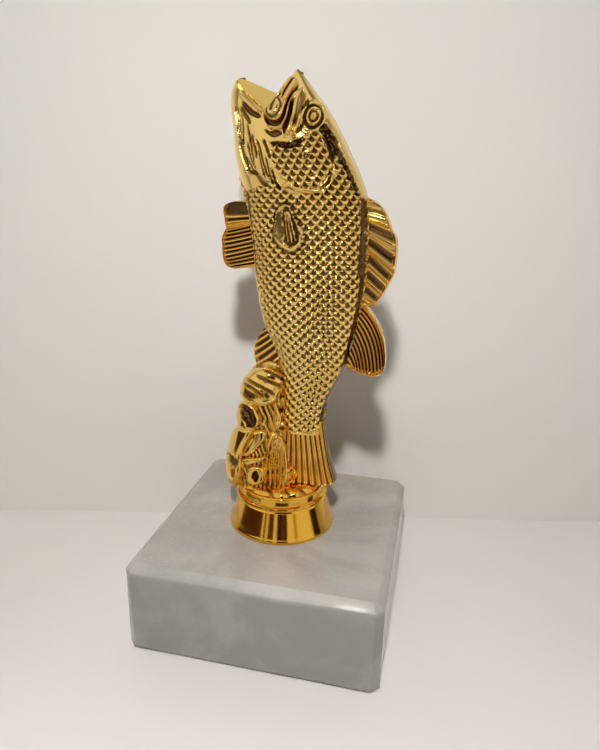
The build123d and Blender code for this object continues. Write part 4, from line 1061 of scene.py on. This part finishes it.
DAYLIGHT = (0.80, 0.775, 0.72, 1)
DAYLIGHT_STRENGTH = 0.1


def staged(name, bm, finish):
    """Something of the room rather than of the trophy, from a mesh drawn in millimetres."""
    bmesh.ops.scale(bm, vec=(MM, MM, MM), verts=bm.verts)
    mesh = bpy.data.meshes.new(name)
    bm.to_mesh(mesh)
    bm.free()
    mesh.materials.append(finish.material)
    thing = bpy.data.objects.new(name, mesh)
    bpy.context.scene.collection.objects.link(thing)
    return thing


def sheet(name, finish, corners):
    bm = bmesh.new()
    bm.faces.new([bm.verts.new(corner) for corner in corners])
    return staged(name, bm, finish)


def glow(name):
    """Finish that gives off its own colour and reflects nothing."""
    return Finish(name, Roughness=1.0, Specular_IOR_Level=0.0, Base_Color=(0, 0, 0, 1), Emission_Strength=1.0)


def level_corners(low_x, high_x, low_y, high_y, z):
    return [(low_x, low_y, z), (high_x, low_y, z), (high_x, high_y, z), (low_x, high_y, z)]


table = Finish("pale_table", Roughness=0.6)
table.feed(Base_Color=table.mix(table.noise(4.0, 2.0), TABLE_GREY, TABLE_PALE))
sheet("table_top", table, level_corners(-TABLE_HALF, TABLE_HALF, -TABLE_HALF, TABLE_HALF, 0))
wall_paint = Finish("wall_paint", Roughness=0.8)
wall_paint.feed(
    Base_Color=wall_paint.mix(wall_paint.noise(5.0, 2.0), WALL_GREY, WALL_PALE),
    Alpha=1 - wall_paint.node("ShaderNodeNewGeometry", output="Backfacing"))
wall = sheet("wall", wall_paint, [
    (along * math.cos(WALL_TURN), WALL_OUT + along * math.sin(WALL_TURN), height)
    for along, height in ((-WALL_HALF, 0), (WALL_HALF, 0), (WALL_HALF, WALL_HALF), (-WALL_HALF, WALL_HALF))])
wall.visible_shadow = False


def lights_nothing(thing):
    """Keeps a glow from lighting the trophy. The camera and reflections may still see it."""
    thing.visible_diffuse = False
    thing.visible_shadow = False
    thing.visible_transmission = False


def card(name, corners, dark, light, patches=6.0):
    """Sheet that only reflections see, with patches between a dark and a light colour."""
    shade = glow(f"{name}_glow")
    blocks = shade.node("ShaderNodeTexVoronoi", {"distance": "CHEBYCHEV"}, {
        "Vector": shade.place, "Scale": patches, "Randomness": 0.9}, output="Color")
    tone = shade.node("ShaderNodeSeparateXYZ", sockets={0: blocks}, output="X")
    shade.feed(Emission_Color=shade.mix(tone.step(0.3, 0.9), dark, light))
    made = sheet(name, shade, corners)
    made.visible_camera = False
    lights_nothing(made)


def spot(turn, away, height):
    """Place at a distance from the fish, turned from its front towards its back by an angle in degrees."""
    return away * math.sin(math.radians(turn)), -away * math.cos(math.radians(turn)), height


def standing_card(name, turns, heights, away, dark, light, patches=6.0):
    """Upright card between two turns and two heights."""
    (first, last), (low, high) = turns, heights
    corners = (first, low), (last, low), (last, high), (first, high)
    card(name, [spot(turn, away, height) for turn, height in corners], dark, light, patches)


def lying_card(name, turns, reach, dark, light):
    """Flat card on the table between two turns and two distances from the fish."""
    (first, last), (near, far) = turns, reach
    corners = (first, near), (last, near), (last, far), (first, far)
    card(name, [spot(turn, away, CARD_HEIGHT) for turn, away in corners], dark, light)


# Dark sheets on the table that only reflections see: painted dark reflections in the collar and the lower
# trunk.
lying_card("dark_reflection_left", (-92, -40), (92, 175), (0.14, 0.07, 0.02, 1), (0.20, 0.11, 0.045, 1))
lying_card("dark_reflection_front", (-2, 30), (96, 170), (0.02, 0.014, 0.01, 1), (0.05, 0.03, 0.02, 1))
lying_card("dark_reflection_right", (82, 100), (92, 170), (0.03, 0.02, 0.01, 1), (0.06, 0.04, 0.02, 1))
card("dark_floor", level_corners(-ROOM_HALF, ROOM_HALF, -TABLE_EDGE, -ROOM_DEPTH, CARD_HEIGHT),
     (0.05, 0.035, 0.02, 1), (0.14, 0.10, 0.06, 1), 5.0)
# Glowing sheets just over the table that only reflections see stand in for the lit table: painted
# reflections.
for side, low_x, high_x, back_y in (
    ("front", -110, 110, -60), ("left", -1500, -110, 20), ("right", 110, 1500, 70),
):
    card(f"table_sheen_{side}", level_corners(low_x, high_x, -TABLE_EDGE, back_y, SHEEN_HEIGHT),
         TABLE_REFLECTION_GREY, TABLE_REFLECTION_PALE, 4.0)
standing_card("low_cupboard", (-86, -29), (2, 64), 235, (0.045, 0.016, 0.008, 1), (0.13, 0.055, 0.025, 1))
standing_card("chair_leg", (-25, -21), (2, 120), 430, (0.03, 0.012, 0.006, 1), (0.10, 0.05, 0.02, 1))
standing_card("chair_back", (-15, -3), (2, 120), 430, (0.05, 0.022, 0.012, 1), (0.16, 0.08, 0.04, 1))
standing_card("holder", (-4, 40), (235, 700), 560, (0.020, 0.013, 0.009, 1), (0.13, 0.08, 0.05, 1), 7.0)
standing_card("telephone", (4, 26), (14, 84), 196, (0.008, 0.007, 0.006, 1), (0.012, 0.010, 0.009, 1))
standing_card("telephone_hand", (13.5, 20), (28, 68), 192,
              (0.10, 0.035, 0.015, 1), (0.20, 0.08, 0.04, 1), patches=20.0)
standing_card("curtain", (41, 47), (2, 120), 430, (0.30, 0.20, 0.10, 1), (0.42, 0.30, 0.17, 1))
standing_card("right_post", (82, 100), (2, 70), 235, (0.008, 0.006, 0.005, 1), (0.02, 0.015, 0.012, 1))
room = bmesh.new()
bmesh.ops.create_uvsphere(room, u_segments=48, v_segments=24, radius=ROOM_RADIUS)
room_glow = glow("room_glow")
room_glow.feed(Emission_Color=room_glow.mix(room_glow.noise(1.2, 2.0).step(0.3, 0.7), ROOM_GREY, ROOM_PALE))
lights_nothing(staged("room_shell", room, room_glow))

light = bpy.data.lights.new("lamp", "AREA")
light.shape = "SQUARE"
light.size = LAMP_SIDE * MM
light.energy = LAMP_WATTS
light.color = LAMP_COLOUR
lamp = bpy.data.objects.new("lamp", light)
lamp.location = Vector(LAMP_PLACE) * MM
lamp.visible_glossy = False
lamp.rotation_euler = (Vector(LAMP_AIM) - Vector(LAMP_PLACE)).to_track_quat("-Z", "Y").to_euler()
bpy.context.scene.collection.objects.link(lamp)
# A glowing card that only reflections see paints the lamp's highlight into the gilding, since the lamp itself
# is hidden from reflections. It hangs a little over the lamp and leans towards the fish.
lamp_x, lamp_y, lamp_z = LAMP_PLACE
card("lamp_highlight", [
    (lamp_x + across * LAMP_FACE_HALF_ACROSS, lamp_y + up * LAMP_FACE_HALF_BACK,
     lamp_z + LAMP_FACE_LIFT + up * LAMP_FACE_HALF_UP)
    for across, up in ((-1, -1), (1, -1), (1, 1), (-1, 1))], LAMP_HIGHLIGHT_GLOW, LAMP_HIGHLIGHT_GLOW, 1.0)

world = bpy.data.worlds.new("room")
bpy.context.scene.world = world
world.use_nodes = True
world.node_tree.nodes["Background"].inputs["Color"].default_value = DAYLIGHT
world.node_tree.nodes["Background"].inputs["Strength"].default_value = DAYLIGHT_STRENGTH
bpy.context.scene.view_settings.view_transform = "Standard"

# Camera. It stands at the place that the block's corners and the fish's upright line give, looks down on
# the trophy and is a little rolled.
CAMERA_PLACE = (47.9, -185.3, 145.4)
CAMERA_TURN = math.radians(12.89)
CAMERA_TILT = math.radians(18.11)
CAMERA_ROLL = math.radians(1.11)
FOCAL_PIXELS = 621.0
PHOTO_HEIGHT = 750.0
SENSOR = 36.0

camera_data = bpy.data.cameras.new("camera")
camera_data.lens = FOCAL_PIXELS / PHOTO_HEIGHT * SENSOR
camera_data.sensor_width = SENSOR
camera_data.clip_start = 0.01
camera = bpy.data.objects.new("camera", camera_data)
back = Vector((math.sin(CAMERA_TURN) * math.cos(CAMERA_TILT),
               -math.cos(CAMERA_TURN) * math.cos(CAMERA_TILT), math.sin(CAMERA_TILT)))
camera.matrix_world = (
    Matrix.Translation(Vector(CAMERA_PLACE) * MM) @ back.to_track_quat("Z", "Y").to_matrix().to_4x4()
    @ Matrix.Rotation(CAMERA_ROLL, 4, "Z"))
bpy.context.scene.collection.objects.link(camera)
bpy.context.scene.camera = camera
